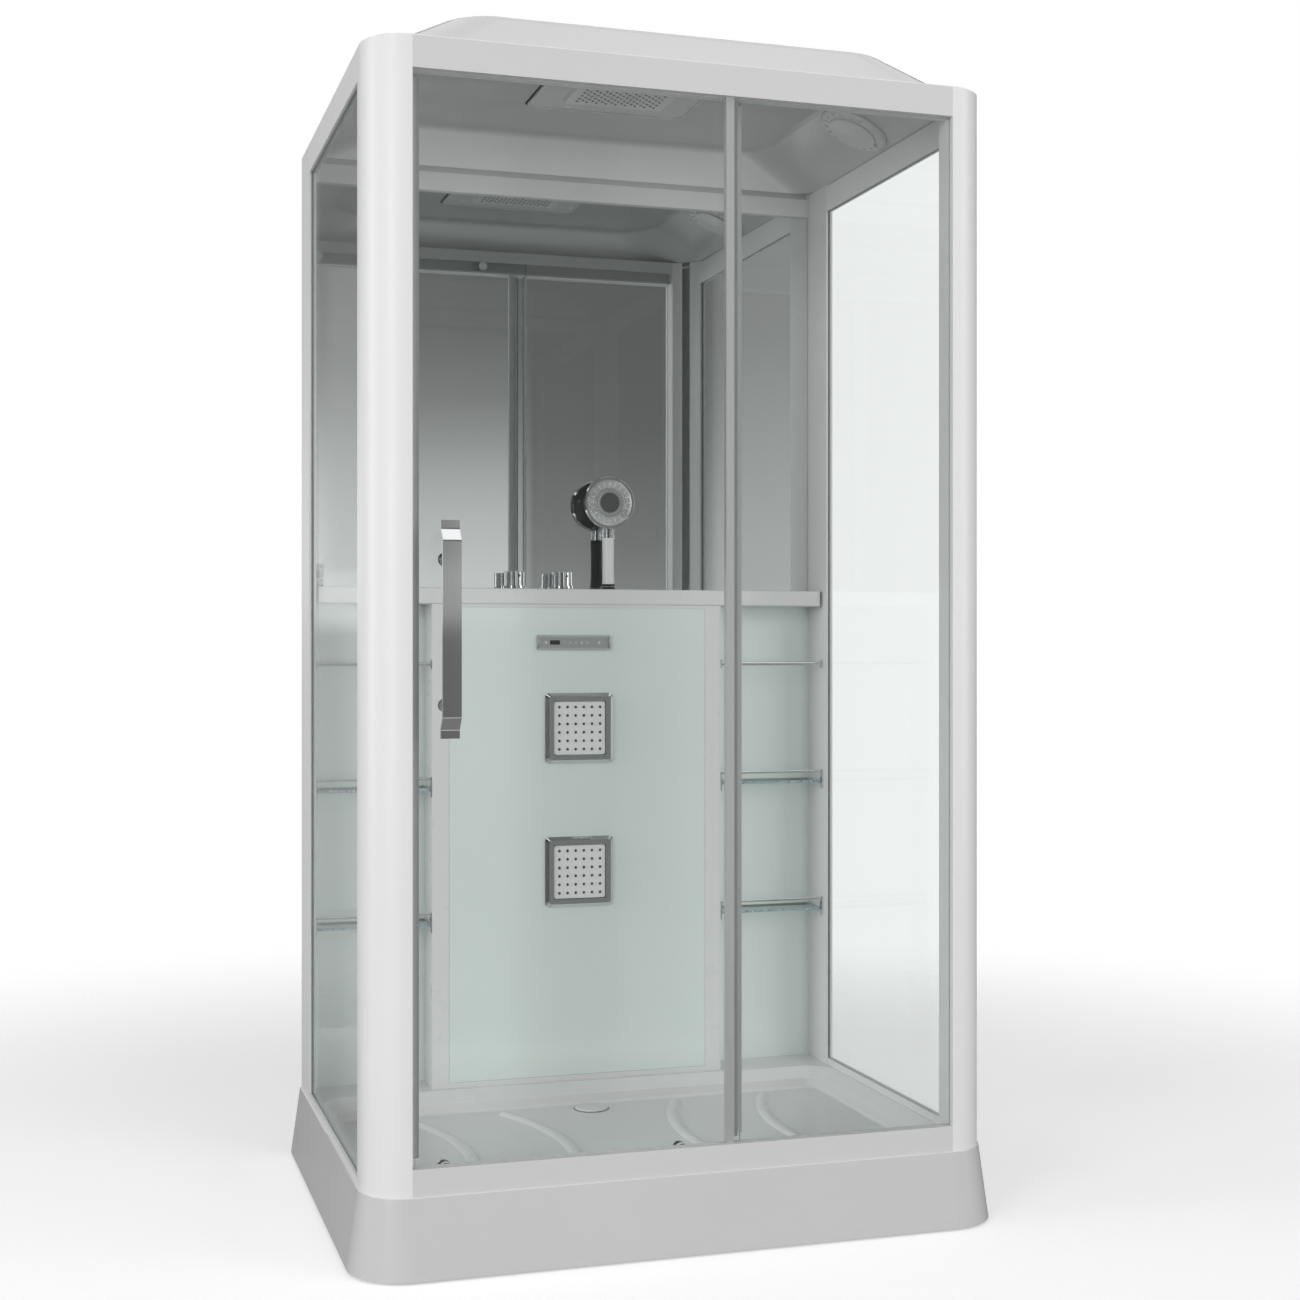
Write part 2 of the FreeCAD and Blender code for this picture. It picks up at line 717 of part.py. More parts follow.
def fixed_front_glass():
    """The fixed front glass, seated in both rails and in the right-hand post."""
    low = Vector(fixed_glass_left, fixed_glass_front, bottom_rail_top - front_slot_depth + glass_end_gap)
    high = Vector(seam_half + front_groove_depth - glass_end_gap, fixed_glass_back,
                  top_rail_bottom + front_slot_depth - glass_end_gap)
    return block(low, high)


def fixed_edge_profile():
    """The aluminium channel over the free edge of the fixed glass."""
    low_x = fixed_glass_left - edge_profile_lip
    channel = block(Vector(low_x, fixed_glass_front - edge_profile_wall, bottom_rail_top),
                    Vector(low_x + edge_profile_width, fixed_glass_back + edge_profile_wall, top_rail_bottom))
    slot = block(Vector(fixed_glass_left, fixed_glass_front, bottom_rail_top - overrun),
                 Vector(low_x + edge_profile_width + overrun, fixed_glass_back, top_rail_bottom + overrun))
    return channel.cut(slot)


def overlap_seal():
    """The soft seal behind the fixed glass, with a fin that reaches to the door glass."""
    low_x = fixed_glass_left - edge_profile_lip + edge_profile_width
    tip_y = door_front - seal_tip_gap
    low = Vector(low_x, fixed_glass_back, seal_bottom)
    base = block(low, Vector(low_x + seal_width, fixed_glass_back + seal_base, seal_top))
    fin = block(low, Vector(low_x + seal_fin, tip_y, seal_top))
    return base.fuse(fin)


# Sliding door: glass, closing-edge seal, trailing-edge profile, handle, roller axles and wheels
door_setback = 42.0
door_left_gap = 12.0
door_overlap = 35.0
door_bottom_gap = 18.0
door_top_gap = 22.0
door_edge_width = 16.0
door_edge_lip = 10.0
trailing_width = 8.0
trailing_lip = 2.0
door_edge_wall = 2.5
seal_tip_gap = 0.5
seal_end_gap = 9.0
roller_inset_left = 50.0
roller_inset_right = 115.0
wheel_radius = 11.0
wheel_width = 8.0
wheel_groove = 1.2
wheel_chamfer = 1.0
wheel_flange = 2.0
wheel_slope = 1.0
wheel_setback = 28.5
axle_radius = 4.0
axle_cap_radius = 9.0
axle_cap_length = 2.6
inner_cap_radius = 11.0
inner_cap_length = 6.0
washer_radius = 7.0
glass_hole_radius = 5.5
handle_inset = 53.0
handle_width = 32.0
handle_thickness = 8.0
handle_length = 370.0
handle_middle_z = 1095.0
handle_reach = 56.0
handle_end_length = 34.0
handle_end_offset = 16.0
handle_bend_length = 18.0
standoff_radius = 12.0
standoff_spacing = 250.0
standoff_drop = 5.0
standoff_cap_length = 6.0
standoff_bolt_radius = 4.0

door_front = frame_front + door_setback
door_back = door_front + glass_thickness
door_left = door_left_gap - seam_half
door_right = fixed_glass_left + door_overlap
handle_x = door_left + handle_inset
door_bottom = rim_z + door_bottom_gap
door_top = frame_top - door_top_gap
seal_bottom = bottom_rail_top + seal_end_gap
seal_top = top_rail_bottom - track_thickness
roller_places_x = (door_left + roller_inset_left, door_right - roller_inset_right)
lower_axle_z = rim_z + bottom_track_height + wheel_radius
upper_axle_z = top_rail_bottom + track_thickness + wheel_radius
wheel_front = frame_front + wheel_setback
wheel_back = wheel_front + wheel_width
standoff_middle_z = handle_middle_z - standoff_drop
handle_places_z = (standoff_middle_z - standoff_spacing / 2, standoff_middle_z + standoff_spacing / 2)


def roller_places():
    """Name, x and height of each roller."""
    left_x, right_x = roller_places_x
    return [("lower_left", left_x, lower_axle_z), ("lower_right", right_x, lower_axle_z),
            ("upper_left", left_x, upper_axle_z), ("upper_right", right_x, upper_axle_z)]


def door_glass():
    """The door's glass with its holes for the roller axles and the handle bolts."""
    pane = block(Vector(door_left, door_front, door_bottom), Vector(door_right, door_back, door_top))
    places = [(x, z) for _, x, z in roller_places()] + [(handle_x, z) for z in handle_places_z]
    holes = [rod(Vector(x, door_front - overrun, z), Vector(x, door_back + overrun, z), glass_hole_radius)
             for x, z in places]
    return pane.cut(Part.makeCompound(holes))


def door_edge(glass_edge, direction, width, lip):
    """A channel over one upright edge of the door glass. The direction points away from the glass."""
    outer_x = glass_edge + direction * lip
    inner_x = outer_x - direction * width
    low_x, high_x = sorted((outer_x, inner_x))
    channel = block(Vector(low_x, door_front - door_edge_wall, seal_bottom),
                    Vector(high_x, door_back + door_edge_wall, seal_top))
    slot_low, slot_high = sorted((glass_edge, inner_x - direction * overrun))
    slot = block(Vector(slot_low, door_front, seal_bottom - overrun),
                 Vector(slot_high, door_back, seal_top + overrun))
    return channel.cut(slot)


def handle_strap():
    """The flat strap in front of the glass, with ends that step back towards it."""
    far = door_front - handle_reach
    near = far + handle_thickness
    step = handle_end_offset
    tip = handle_length / 2
    bend = tip - handle_end_length
    stepped = bend + handle_bend_length
    path = [(far, -bend), (far + step, -stepped), (far + step, -tip), (near + step, -tip),
            (near + step, -stepped), (near, -bend), (near, bend), (near + step, stepped), (near + step, tip),
            (far + step, tip), (far + step, stepped), (far, bend)]
    low_x = handle_x - handle_width / 2
    strap = polygon_prism([Vector(low_x, y, handle_middle_z + z) for y, z in path], x_axis * handle_width)
    bends = [edge for edge in strap.Edges if runs_along(edge, x_axis)
             and abs(edge.BoundBox.ZMin - handle_middle_z) < tip - overrun]
    return strap.makeFillet(handle_thickness, bends)


def handle_standoffs():
    """The round standoffs behind the strap, the bolts through the glass and the flat caps inside."""
    bars = []
    for z in handle_places_z:
        strap_end = Vector(handle_x, door_front - handle_reach + handle_thickness, z)
        cap_end = Vector(handle_x, door_back + standoff_cap_length, z)
        front = rod(strap_end, Vector(handle_x, door_front, z), standoff_radius)
        back = rod(Vector(handle_x, door_back, z), cap_end, standoff_radius)
        bolt = rod(Vector(handle_x, door_front - overrun, z), Vector(handle_x, door_back + overrun, z),
                   standoff_bolt_radius)
        bars.append(fuse_all([front, bolt, back]))
    return Part.makeCompound(bars)


def roller_axle(x, z):
    """An axle through the door glass, with the outer cap, the washer face and the inner cap."""
    cap_front = wheel_front - axle_cap_length - seat_gap
    parts = [rod(Vector(x, cap_front, z), Vector(x, wheel_front - seat_gap, z), axle_cap_radius),
             rod(Vector(x, cap_front, z), Vector(x, door_back + inner_cap_length, z), axle_radius),
             rod(Vector(x, wheel_back + seat_gap, z), Vector(x, door_front, z), washer_radius),
             rod(Vector(x, door_back, z), Vector(x, door_back + inner_cap_length, z), inner_cap_radius)]
    return fuse_all(parts)


def roller_wheel(x, z):
    """A nylon wheel with a shallow groove and its bore."""
    rim = wheel_radius - seat_gap
    waist = rim - wheel_groove
    bore = axle_radius + running_gap
    slope_end = wheel_flange + wheel_slope
    half_section = [(0, bore), (0, rim - wheel_chamfer), (wheel_chamfer, rim), (wheel_flange, rim),
                    (slope_end, waist)]
    other_half = [(wheel_width - depth, radius) for depth, radius in reversed(half_section)]
    profile = [Vector(x + radius, wheel_front + depth, z) for depth, radius in half_section + other_half]
    return turned(profile, Vector(x, 0, z), y_axis)


keep("side_glasses", both_sides([side_glass()]))
keep("fixed_front_glass", fixed_front_glass())
keep("fixed_edge_profile", fixed_edge_profile())
keep("overlap_seal", overlap_seal())
keep("door_glass", door_glass())
keep("door_closing_seal", door_edge(door_left, -1, door_edge_width, door_edge_lip))
keep("door_trailing_profile", door_edge(door_right, 1, trailing_width, trailing_lip))
keep("outer_handle", handle_strap())
keep("handle_standoffs", handle_standoffs())
keep("roller_axles", Part.makeCompound([roller_axle(x, z) for _, x, z in roller_places()]))
for roller_name, roller_x, roller_z in roller_places():
    keep(roller_name + "_wheel", roller_wheel(roller_x, roller_z))


# Rear wall: mirror, ledge, column housing with its glass front, and the niche panels
mirror_side_gap = 1.0
ledge_thickness = 34.0
ledge_end_gap = 6.0
ledge_edge_radius = 4.0
ledge_top_thickness = 8.0
pocket_margin = 8.0
column_wall = 4.0
column_border = 36.0
column_glass_foot = 10.0
column_glass_head = 6.0
housing_lip = 18.0
fitting_y_setback = 44.0
mixer_x = -133.5
diverter_x = riser_x
handset_x = 76.0
spindle_hole_radius = 12.0
socket_hole_radius = 13.0
jet_x = -2.0
upper_jet_below_ledge = 264.0
jet_spacing = 307.0
jet_hole_radius = 49.0
panel_x = -14.0
panel_below_ledge = 81.0
panel_slot_half_width = 34.0
panel_slot_half_height = 9.0

ledge_top = ledge_height
ledge_bottom = ledge_top - ledge_thickness
ledge_inside_top = ledge_top - ledge_top_thickness
ledge_rear = mirror_back
ledge_half = inner_half - ledge_end_gap
fitting_y = column_front + fitting_y_setback + glass_play
column_glass_half = column_half - column_border
column_glass_back = column_front + glass_thickness
column_inner_y = column_glass_back + column_wall
panel_z = ledge_bottom - panel_below_ledge
upper_jet_z = ledge_bottom - upper_jet_below_ledge
lower_jet_z = upper_jet_z - jet_spacing
jet_heights = (upper_jet_z, lower_jet_z)


def front_openings(front, back):
    """The holes for the jets and the slot for the touch panel, between two depths."""
    holes = [rod(Vector(jet_x, front, z), Vector(jet_x, back, z), jet_hole_radius) for z in jet_heights]
    holes.append(block(Vector(panel_x - panel_slot_half_width, front, panel_z - panel_slot_half_height),
                       Vector(panel_x + panel_slot_half_width, back, panel_z + panel_slot_half_height)))
    return Part.makeCompound(holes)


def column_housing():
    """The open-backed column: side walls, a rebated front and lips along the rear edges."""
    outer = block(Vector(-column_half, column_front, rim_z), Vector(column_half, frame_rear, ledge_bottom))
    room = block(Vector(column_wall - column_half, column_inner_y, rim_z - overrun),
                 Vector(column_half - column_wall, frame_rear - column_wall, ledge_bottom + overrun))
    rear_gap = block(Vector(housing_lip - column_half, column_inner_y, rim_z - overrun),
                     Vector(column_half - housing_lip, frame_rear + overrun, ledge_bottom + overrun))
    rebate = block(Vector(-column_glass_half, column_front - overrun, rim_z + column_glass_foot),
                   Vector(column_glass_half, column_glass_back, ledge_bottom - column_glass_head))
    body = outer.cut(room).cut(rear_gap).cut(rebate)
    sill_room = block(Vector(rear_flange_width - inner_half, rear_flange_y, rim_z - overrun),
                      Vector(inner_half - rear_flange_width, frame_rear + overrun, rim_z + rear_sill_height))
    return body.cut(sill_room).cut(front_openings(column_front - overrun, column_inner_y + overrun))


def column_glass():
    """The pale glass that fills the column's rebate."""
    half = column_glass_half - panel_play
    low_z = rim_z + column_glass_foot + panel_play
    high_z = ledge_bottom - column_glass_head - panel_play
    pane = block(Vector(-half, column_front, low_z), Vector(half, column_glass_back, high_z))
    return pane.cut(front_openings(column_front - overrun, column_glass_back + overrun))


def rear_ledge():
    """The ledge: a moulded shelf, hollow over the column, with holes for the spindles and the socket."""
    shelf = block(Vector(-ledge_half, column_front, ledge_bottom), Vector(ledge_half, ledge_rear, ledge_top))
    front_edges = [edge for edge in shelf.Edges if edge.BoundBox.YMax < column_front + overrun]
    shelf = shelf.makeFillet(ledge_edge_radius, front_edges)
    pocket_half = column_half - pocket_margin
    pocket = block(Vector(-pocket_half, column_front + pocket_margin, ledge_bottom - overrun),
                   Vector(pocket_half, ledge_rear - pocket_margin, ledge_inside_top))
    holes = [rod(Vector(x, fitting_y, ledge_bottom), Vector(x, fitting_y, ledge_top + overrun), radius)
             for x, radius in ((mixer_x, spindle_hole_radius), (diverter_x, spindle_hole_radius),
                               (handset_x, socket_hole_radius))]
    return shelf.cut(pocket).cut(Part.makeCompound(holes))


def niche_panel():
    """The pale glass at the back of the right-hand niche."""
    return block(Vector(column_half, mirror_front, rim_z), Vector(inner_half, mirror_back, ledge_bottom))


def mirror_glass():
    """The mirror, standing on the ledge, its upper edge in the rear rail."""
    half = inner_half - mirror_side_gap
    top = frame_top - rear_rail_height + mirror_slot_depth - glass_end_gap
    return block(Vector(-half, mirror_front, ledge_top), Vector(half, mirror_back, top))


keep("mirror", mirror_glass())
keep("ledge", rear_ledge())
keep("column_housing", column_housing())
keep("column_glass", column_glass())
keep("niche_panels", both_sides([niche_panel()]))


# Shelves: in each niche a rod, and two glass shelves with guard rails, all held by small end plates
rod_below_ledge = 127.0
upper_shelf_below_ledge = 390.0
shelf_spacing = 284.0
guard_height = 23.0
guard_radius = 3.0
rod_radius = 4.0
shelf_thickness = 6.0
shelf_front_setback = 8.0
end_plate_thickness = 3.0
end_plate_depth = 12.0
shelf_plate_height = 42.0
rod_plate_height = 18.0
guard_setback = 6.0

niche_left = column_half
niche_right = inner_half
rod_z = ledge_bottom - rod_below_ledge
upper_shelf_z = ledge_bottom - upper_shelf_below_ledge
lower_shelf_z = upper_shelf_z - shelf_spacing
shelf_heights = (lower_shelf_z, upper_shelf_z)
guard_y = column_front + guard_setback
shelf_front = column_front + shelf_front_setback


def shelf_glasses():
    """The glass shelves, from the guard rail to the niche panel."""
    shelves = []
    for z in shelf_heights:
        low = Vector(niche_left + end_plate_thickness, shelf_front, z - shelf_thickness / 2)
        high = Vector(niche_right - end_plate_thickness, mirror_front, z + shelf_thickness / 2)
        shelves.append(block(low, high))
    return both_sides(shelves)


def guard_rails():
    """The rods in front of the shelves, and the free rod over them."""
    rails = []
    guards = [(shelf_z + guard_height, guard_radius) for shelf_z in shelf_heights]
    for z, radius in guards + [(rod_z, rod_radius)]:
        rails.append(rod(Vector(niche_left + end_plate_thickness, guard_y, z),
                         Vector(niche_right - end_plate_thickness, guard_y, z), radius))
    return both_sides(rails)


def end_plates():
    """The chrome plates on the niche walls that carry shelves and rods."""
    plates = []
    low_y = guard_y - end_plate_depth / 2
    heights = [(z + guard_height / 2 - shelf_thickness, shelf_plate_height) for z in shelf_heights]
    for z, height in heights + [(rod_z, rod_plate_height)]:
        for low_x in (niche_left, niche_right - end_plate_thickness):
            plate = block(Vector(low_x, low_y, z - height / 2),
                          Vector(low_x + end_plate_thickness, low_y + end_plate_depth, z + height / 2))
            plates.append(plate)
    return both_sides(plates)


keep("shelf_glasses", shelf_glasses())
keep("shelf_rails", guard_rails())
keep("shelf_end_plates", end_plates())


# Touch panel and control unit behind it
bezel_width = 164.0
bezel_height = 32.0
bezel_depth = 6.0
bezel_rim = 5.0
bezel_corner_radius = 4.0
face_recess = 1.5
unit_width = 76.0
unit_height = 44.0
unit_depth = 24.0
gland_radius = 8.0
gland_length = 14.0
gland_bore = 3.5


def control_bezel():
    """The metal bezel: a shallow rounded frame with a pocket for the touch face."""
    low = Vector(panel_x - bezel_width / 2, column_front - bezel_depth, panel_z - bezel_height / 2)
    high = Vector(panel_x + bezel_width / 2, column_front, panel_z + bezel_height / 2)
    frame = plate_with_round_corners(low, high, bezel_corner_radius, y_axis)
    pocket = block(low + Vector(bezel_rim, -overrun, bezel_rim), high - Vector(bezel_rim, 0, bezel_rim))
    return frame.cut(pocket)


def control_face():
    """The flat touch face in the bezel."""
    half_width = bezel_width / 2 - bezel_rim
    half_height = bezel_height / 2 - bezel_rim
    front = column_front - bezel_depth + face_recess
    return block(Vector(panel_x - half_width, front, panel_z - half_height),
                 Vector(panel_x + half_width, column_front, panel_z + half_height))


def control_unit():
    """The sealed unit behind the panel, with the nose that reaches the touch face and a cable gland below."""
    low = Vector(panel_x - unit_width / 2, column_inner_y, panel_z - unit_height / 2)
    high = Vector(panel_x + unit_width / 2, column_inner_y + unit_depth, panel_z + unit_height / 2)
    case = plate_with_round_corners(low, high, bezel_corner_radius, y_axis)
    nose_half_width = panel_slot_half_width - panel_play
    nose_half_height = panel_slot_half_height - panel_play
    nose = block(Vector(panel_x - nose_half_width, column_front, panel_z - nose_half_height),
                 Vector(panel_x + nose_half_width, column_inner_y, panel_z + nose_half_height))
    gland_top = Vector(panel_x, column_inner_y + unit_depth / 2, panel_z - unit_height / 2)
    gland = rod(gland_top, gland_top - z_axis * gland_length, gland_radius)
    bore = rod(gland_top + z_axis * gland_length, gland_top - z_axis * (gland_length + overrun), gland_bore)
    return case.fuse(nose).fuse(gland).cut(bore)


keep("control_bezel", control_bezel())
keep("control_face", control_face())
keep("control_unit", control_unit())


# Body jets: bevelled chrome frames, nozzle plates and the water chambers behind the glass
jet_size = 150.0
jet_opening = 115.0
jet_plate_size = 113.0
jet_frame_depth = 12.0
jet_frame_edge = 4.0
jet_bevel = 7.0
jet_corner_radius = 9.0
jet_plate_recess = 4.0
jet_plate_radius = 5.0
chamber_radius = 47.0
chamber_depth = 16.0
chamber_cone_depth = 20.0
nipple_radius = 8.0
pipe_radius = 6.0
supply_setback = 67.0
tee_length = 12.0

supply_y = column_front + supply_setback
nipple_end_y = supply_y - tee_length


def square_outline(half, radius, y, z):
    """A round-cornered square, square to the y axis, about the jet's middle."""
    flat = rounded_outline(jet_x - half, jet_x + half, -half, half, (radius,) * 4, 0)
    flat.rotate(Vector(0, 0, 0), x_axis, 90)
    flat.translate(Vector(0, y, z))
    return flat


def jet_frame(z):
    """One frame: a flat edge on the glass, a bevel inwards and the square opening."""
    half = jet_size / 2
    edge_y = column_front - jet_frame_edge
    front_y = column_front - jet_frame_depth
    outline_back = square_outline(half, jet_corner_radius, column_front, z)
    outline_edge = square_outline(half, jet_corner_radius, edge_y, z)
    outline_front = square_outline(half - jet_bevel, jet_corner_radius - jet_bevel / 2, front_y, z)
    body = Part.makeLoft([outline_back, outline_edge, outline_front], True, True)
    opening = block(Vector(jet_x - jet_opening / 2, front_y - overrun, z - jet_opening / 2),
                    Vector(jet_x + jet_opening / 2, column_front + overrun, z + jet_opening / 2))
    return body.cut(opening)


def jet_plate(z):
    """One nozzle plate, set a little behind the front of its frame."""
    half = jet_plate_size / 2
    return plate_with_round_corners(
        Vector(jet_x - half, column_front - jet_frame_depth + jet_plate_recess, z - half),
        Vector(jet_x + half, column_front, z + half), jet_plate_radius, y_axis)


def jet_chamber(z):
    """The water chamber behind one plate, narrowing to its hose nipple."""
    neck_y = column_front + chamber_depth
    tail_y = neck_y + chamber_cone_depth
    profile = [Vector(jet_x, column_front, z), Vector(jet_x + chamber_radius, column_front, z),
               Vector(jet_x + chamber_radius, neck_y, z), Vector(jet_x + nipple_radius, tail_y, z),
               Vector(jet_x + nipple_radius, nipple_end_y, z), Vector(jet_x, nipple_end_y, z)]
    return turned(profile, Vector(jet_x, 0, z), y_axis)


keep("jet_frames", Part.makeCompound([jet_frame(z) for z in jet_heights]))
keep("jet_plates", Part.makeCompound([jet_plate(z) for z in jet_heights]))
keep("jet_chambers", Part.makeCompound([jet_chamber(z) for z in jet_heights]))


# Valves under the ledge, and the pipes to the jets, the socket and the rain head
valve_radius = 20.0
valve_neck_radius = 11.5
valve_length = 55.0
valve_shoulder = 1.0
spindle_radius = 5.0
spindle_rise = 22.0
port_radius = 9.0
port_length = 4.0
link_drop = 24.0
inlet_spacing = 130.0
inlet_bar_drop = 42.0
inlet_bar_overhang = 16.0
inlet_length = 50.0
inlet_radius = 10.5
inlet_collar_radius = 14.0
thread_length = 12.0
riser_radius = 5.0
riser_bend = 14.0
roof_pipe_bend = 30.0
socket_pipe_bend = 12.0
jet_pipe_bend = 20.0
jet_pipe_drop = 40.0

valve_bottom = ledge_bottom - valve_length
port_reach = valve_radius + port_length
link_z = ledge_bottom - link_drop
inlet_bar_z = ledge_bottom - inlet_bar_drop
riser_y = mirror_back + riser_radius + 2 * panel_play


def valve_tower(x, port_ways):
    """A valve body with its neck under the ledge, its spindle through it and a port on each named side."""
    levels = [(0, valve_bottom), (valve_radius, valve_bottom), (valve_radius, ledge_bottom),
              (valve_radius - valve_shoulder, ledge_inside_top), (valve_neck_radius, ledge_inside_top),
              (valve_neck_radius, ledge_top), (spindle_radius, ledge_top),
              (spindle_radius, ledge_top + spindle_rise), (0, ledge_top + spindle_rise)]
    profile = [Vector(x + radius, fitting_y, z) for radius, z in levels]
    tower = turned(profile, Vector(x, fitting_y, 0), z_axis)
    middle = Vector(x, fitting_y, link_z)
    ports = [rod(middle, middle + way * port_reach, port_radius) for way in port_ways]
    return fuse_all([tower] + ports)


def mixer_valve():
    """The mixing valve: tower, cross bar and two threaded inlets that point down."""
    left = Vector(mixer_x - inlet_spacing / 2, fitting_y, inlet_bar_z)
    right = Vector(mixer_x + inlet_spacing / 2, fitting_y, inlet_bar_z)
    bar_end = x_axis * inlet_bar_overhang
    parts = [valve_tower(mixer_x, [x_axis]), rod(left - bar_end, right + bar_end, inlet_radius)]
    for top in (left, right):
        parts.append(rod(top, top - z_axis * (inlet_length - thread_length), inlet_collar_radius))
        parts.append(rod(top, top - z_axis * inlet_length, inlet_radius))
    return fuse_all(parts)


def roof_inlet_way():
    """The level direction from the rain head's inlet to where the riser comes over the roof."""
    return Vector(riser_x - rain_x, roof_rear_top_y - rain_y, 0).normalize()


def riser_pipe():
    """The pipe from the diverter, up behind the mirror and over the roof to the rain head."""
    over_roof_z = roof_top + inlet_boss_height / 2
    inlet = Vector(rain_x, rain_y, over_roof_z)
    points = [Vector(riser_x, fitting_y + port_reach, link_z), Vector(riser_x, riser_y, link_z),
              Vector(riser_x, riser_y, frame_top + roof_rise / 2),
              Vector(riser_x, roof_rear_top_y, over_roof_z),
              inlet + roof_inlet_way() * (inlet_boss_radius + port_length)]
    return pipe(points, (riser_bend, roof_pipe_bend, roof_pipe_bend), riser_radius)


def jet_pipe():
    """The pipe from the foot of the diverter down to both jets, with a tee for each."""
    low_z = valve_bottom - 2 * jet_pipe_drop
    foot = Vector(diverter_x, fitting_y, valve_bottom)
    points = [foot, foot - z_axis * jet_pipe_drop, Vector(jet_x, supply_y, low_z),
              Vector(jet_x, supply_y, lower_jet_z - nipple_radius)]
    run = pipe(points, (jet_pipe_bend, jet_pipe_bend), pipe_radius)
    tees = [rod(Vector(jet_x, nipple_end_y, z), Vector(jet_x, supply_y, z), nipple_radius)
            for z in jet_heights]
    return run.multiFuse(tees)


def supply_pipes():
    """All pipes: between the valves, to the hand shower's socket, to the jets and to the rain head."""
    link = rod(Vector(mixer_x + port_reach, fitting_y, link_z),
               Vector(diverter_x - port_reach, fitting_y, link_z), pipe_radius)
    points = [Vector(diverter_x + port_reach, fitting_y, link_z), Vector(handset_x, fitting_y, link_z),
              Vector(handset_x, fitting_y, socket_bottom)]
    socket_feed = pipe(points, (socket_pipe_bend,), pipe_radius)
    return Part.makeCompound([link, socket_feed, jet_pipe(), riser_pipe()])


# Hand shower: socket in the ledge, grip, head with neck, and the spray face that turns to change the jet
socket_radius = 14.5
socket_height = 12.0
socket_depth = 46.0
socket_bore = 10.5
stub_radius = 10.0
stub_length = 30.0
grip_radius = 13.8
grip_length = 100.0
grip_waist = 1.0
core_radius = 9.0
head_radius = 57.0
head_thickness = 26.0
head_above_grip = 76.7
head_rim = 8.0
head_shoulder_radius_share = 0.62
head_shoulder_depth_share = 0.86
neck_top_radius = 10.5
face_radius = 50.0
face_thickness = 5.0
face_pocket = 2.5
face_dish = 2.0
face_edge_share = 0.9
dish_edge_share = 0.55
dish_foot_share = 0.5
dish_inner_share = 0.45
middle_share = 0.4
tab_root_share = 0.8
sleeve_play = 0.1
tab_length = 13.0
tab_width = 12.0
tab_angle = 40.0

socket_top = ledge_top + socket_height
socket_bottom = socket_top - socket_depth
grip_bottom = socket_top + seat_gap
grip_top = grip_bottom + grip_length
head_middle_z = grip_top + head_above_grip
head_front = fitting_y - head_thickness / 2
head_back = fitting_y + head_thickness / 2


def handset_socket():
    """The collar on the ledge with its shank and the bore for the handset's stub."""
    bore_bottom = socket_top - stub_length - overrun
    shank_radius = socket_hole_radius - seat_gap
    levels = [(0, socket_bottom), (shank_radius, socket_bottom), (shank_radius, ledge_top),
              (socket_radius, ledge_top), (socket_radius, socket_top), (socket_bore, socket_top),
              (socket_bore, bore_bottom), (0, bore_bottom)]
    profile = [Vector(handset_x + radius, fitting_y, z) for radius, z in levels]
    return turned(profile, Vector(handset_x, fitting_y, 0), z_axis)


def handset_grip():
    """The pale sleeve of the handle, drawn in slightly at its middle."""
    middle = (grip_bottom + grip_top) / 2
    start = Vector(handset_x + grip_radius, fitting_y, grip_bottom)
    end = Vector(handset_x + grip_radius, fitting_y, grip_top)
    waist = Vector(handset_x + grip_radius - grip_waist, fitting_y, middle)
    inner_low = Vector(handset_x + core_radius + sleeve_play, fitting_y, grip_bottom)
    inner_high = Vector(handset_x + core_radius + sleeve_play, fitting_y, grip_top)
    wire = Part.Wire([arc_through(start, waist, end), line(end, inner_high), line(inner_high, inner_low),
                      line(inner_low, start)])
    return Part.Face(wire).revolve(Vector(handset_x, fitting_y, 0), z_axis, 360)


def on_head(radius, y):
    """A point of the head's profile, beside its middle."""
    return Vector(handset_x + radius, y, head_middle_z)


def handset_body():
    """The chrome body: stub, core, tapered neck and the round head with a domed back."""
    stub_bottom = grip_bottom - stub_length
    neck_top = head_middle_z - head_radius + head_rim * 2
    levels = [(0, stub_bottom), (stub_radius, stub_bottom), (stub_radius, grip_bottom),
              (core_radius, grip_bottom), (core_radius, grip_top), (grip_radius, grip_top),
              (neck_top_radius, neck_top), (0, neck_top)]
    profile = [Vector(handset_x + radius, fitting_y, z) for radius, z in levels]
    stem = turned(profile, Vector(handset_x, fitting_y, 0), z_axis)
    pocket_radius = face_radius + seat_gap
    pocket_y = head_front + face_pocket
    rim_edge = head_rim / 4
    rim_back = on_head(head_radius, head_front + head_rim)
    shoulder = on_head(head_radius * head_shoulder_radius_share,
                       head_front + head_thickness * head_shoulder_depth_share)
    crown = on_head(0, head_back)
    corners = [crown, on_head(0, pocket_y), on_head(pocket_radius, pocket_y),
               on_head(pocket_radius, head_front), on_head(head_radius - rim_edge, head_front),
               on_head(head_radius, head_front + rim_edge), rim_back]
    edges = [line(start, end) for start, end in zip(corners, corners[1:])]
    wire = Part.Wire(edges + [arc_through(rim_back, shoulder, crown)])
    head = Part.Face(wire).revolve(on_head(0, 0), y_axis, 360)
    pocket = rod(on_head(0, head_front - head_thickness), on_head(0, pocket_y), pocket_radius)
    return stem.fuse(head).cut(pocket)


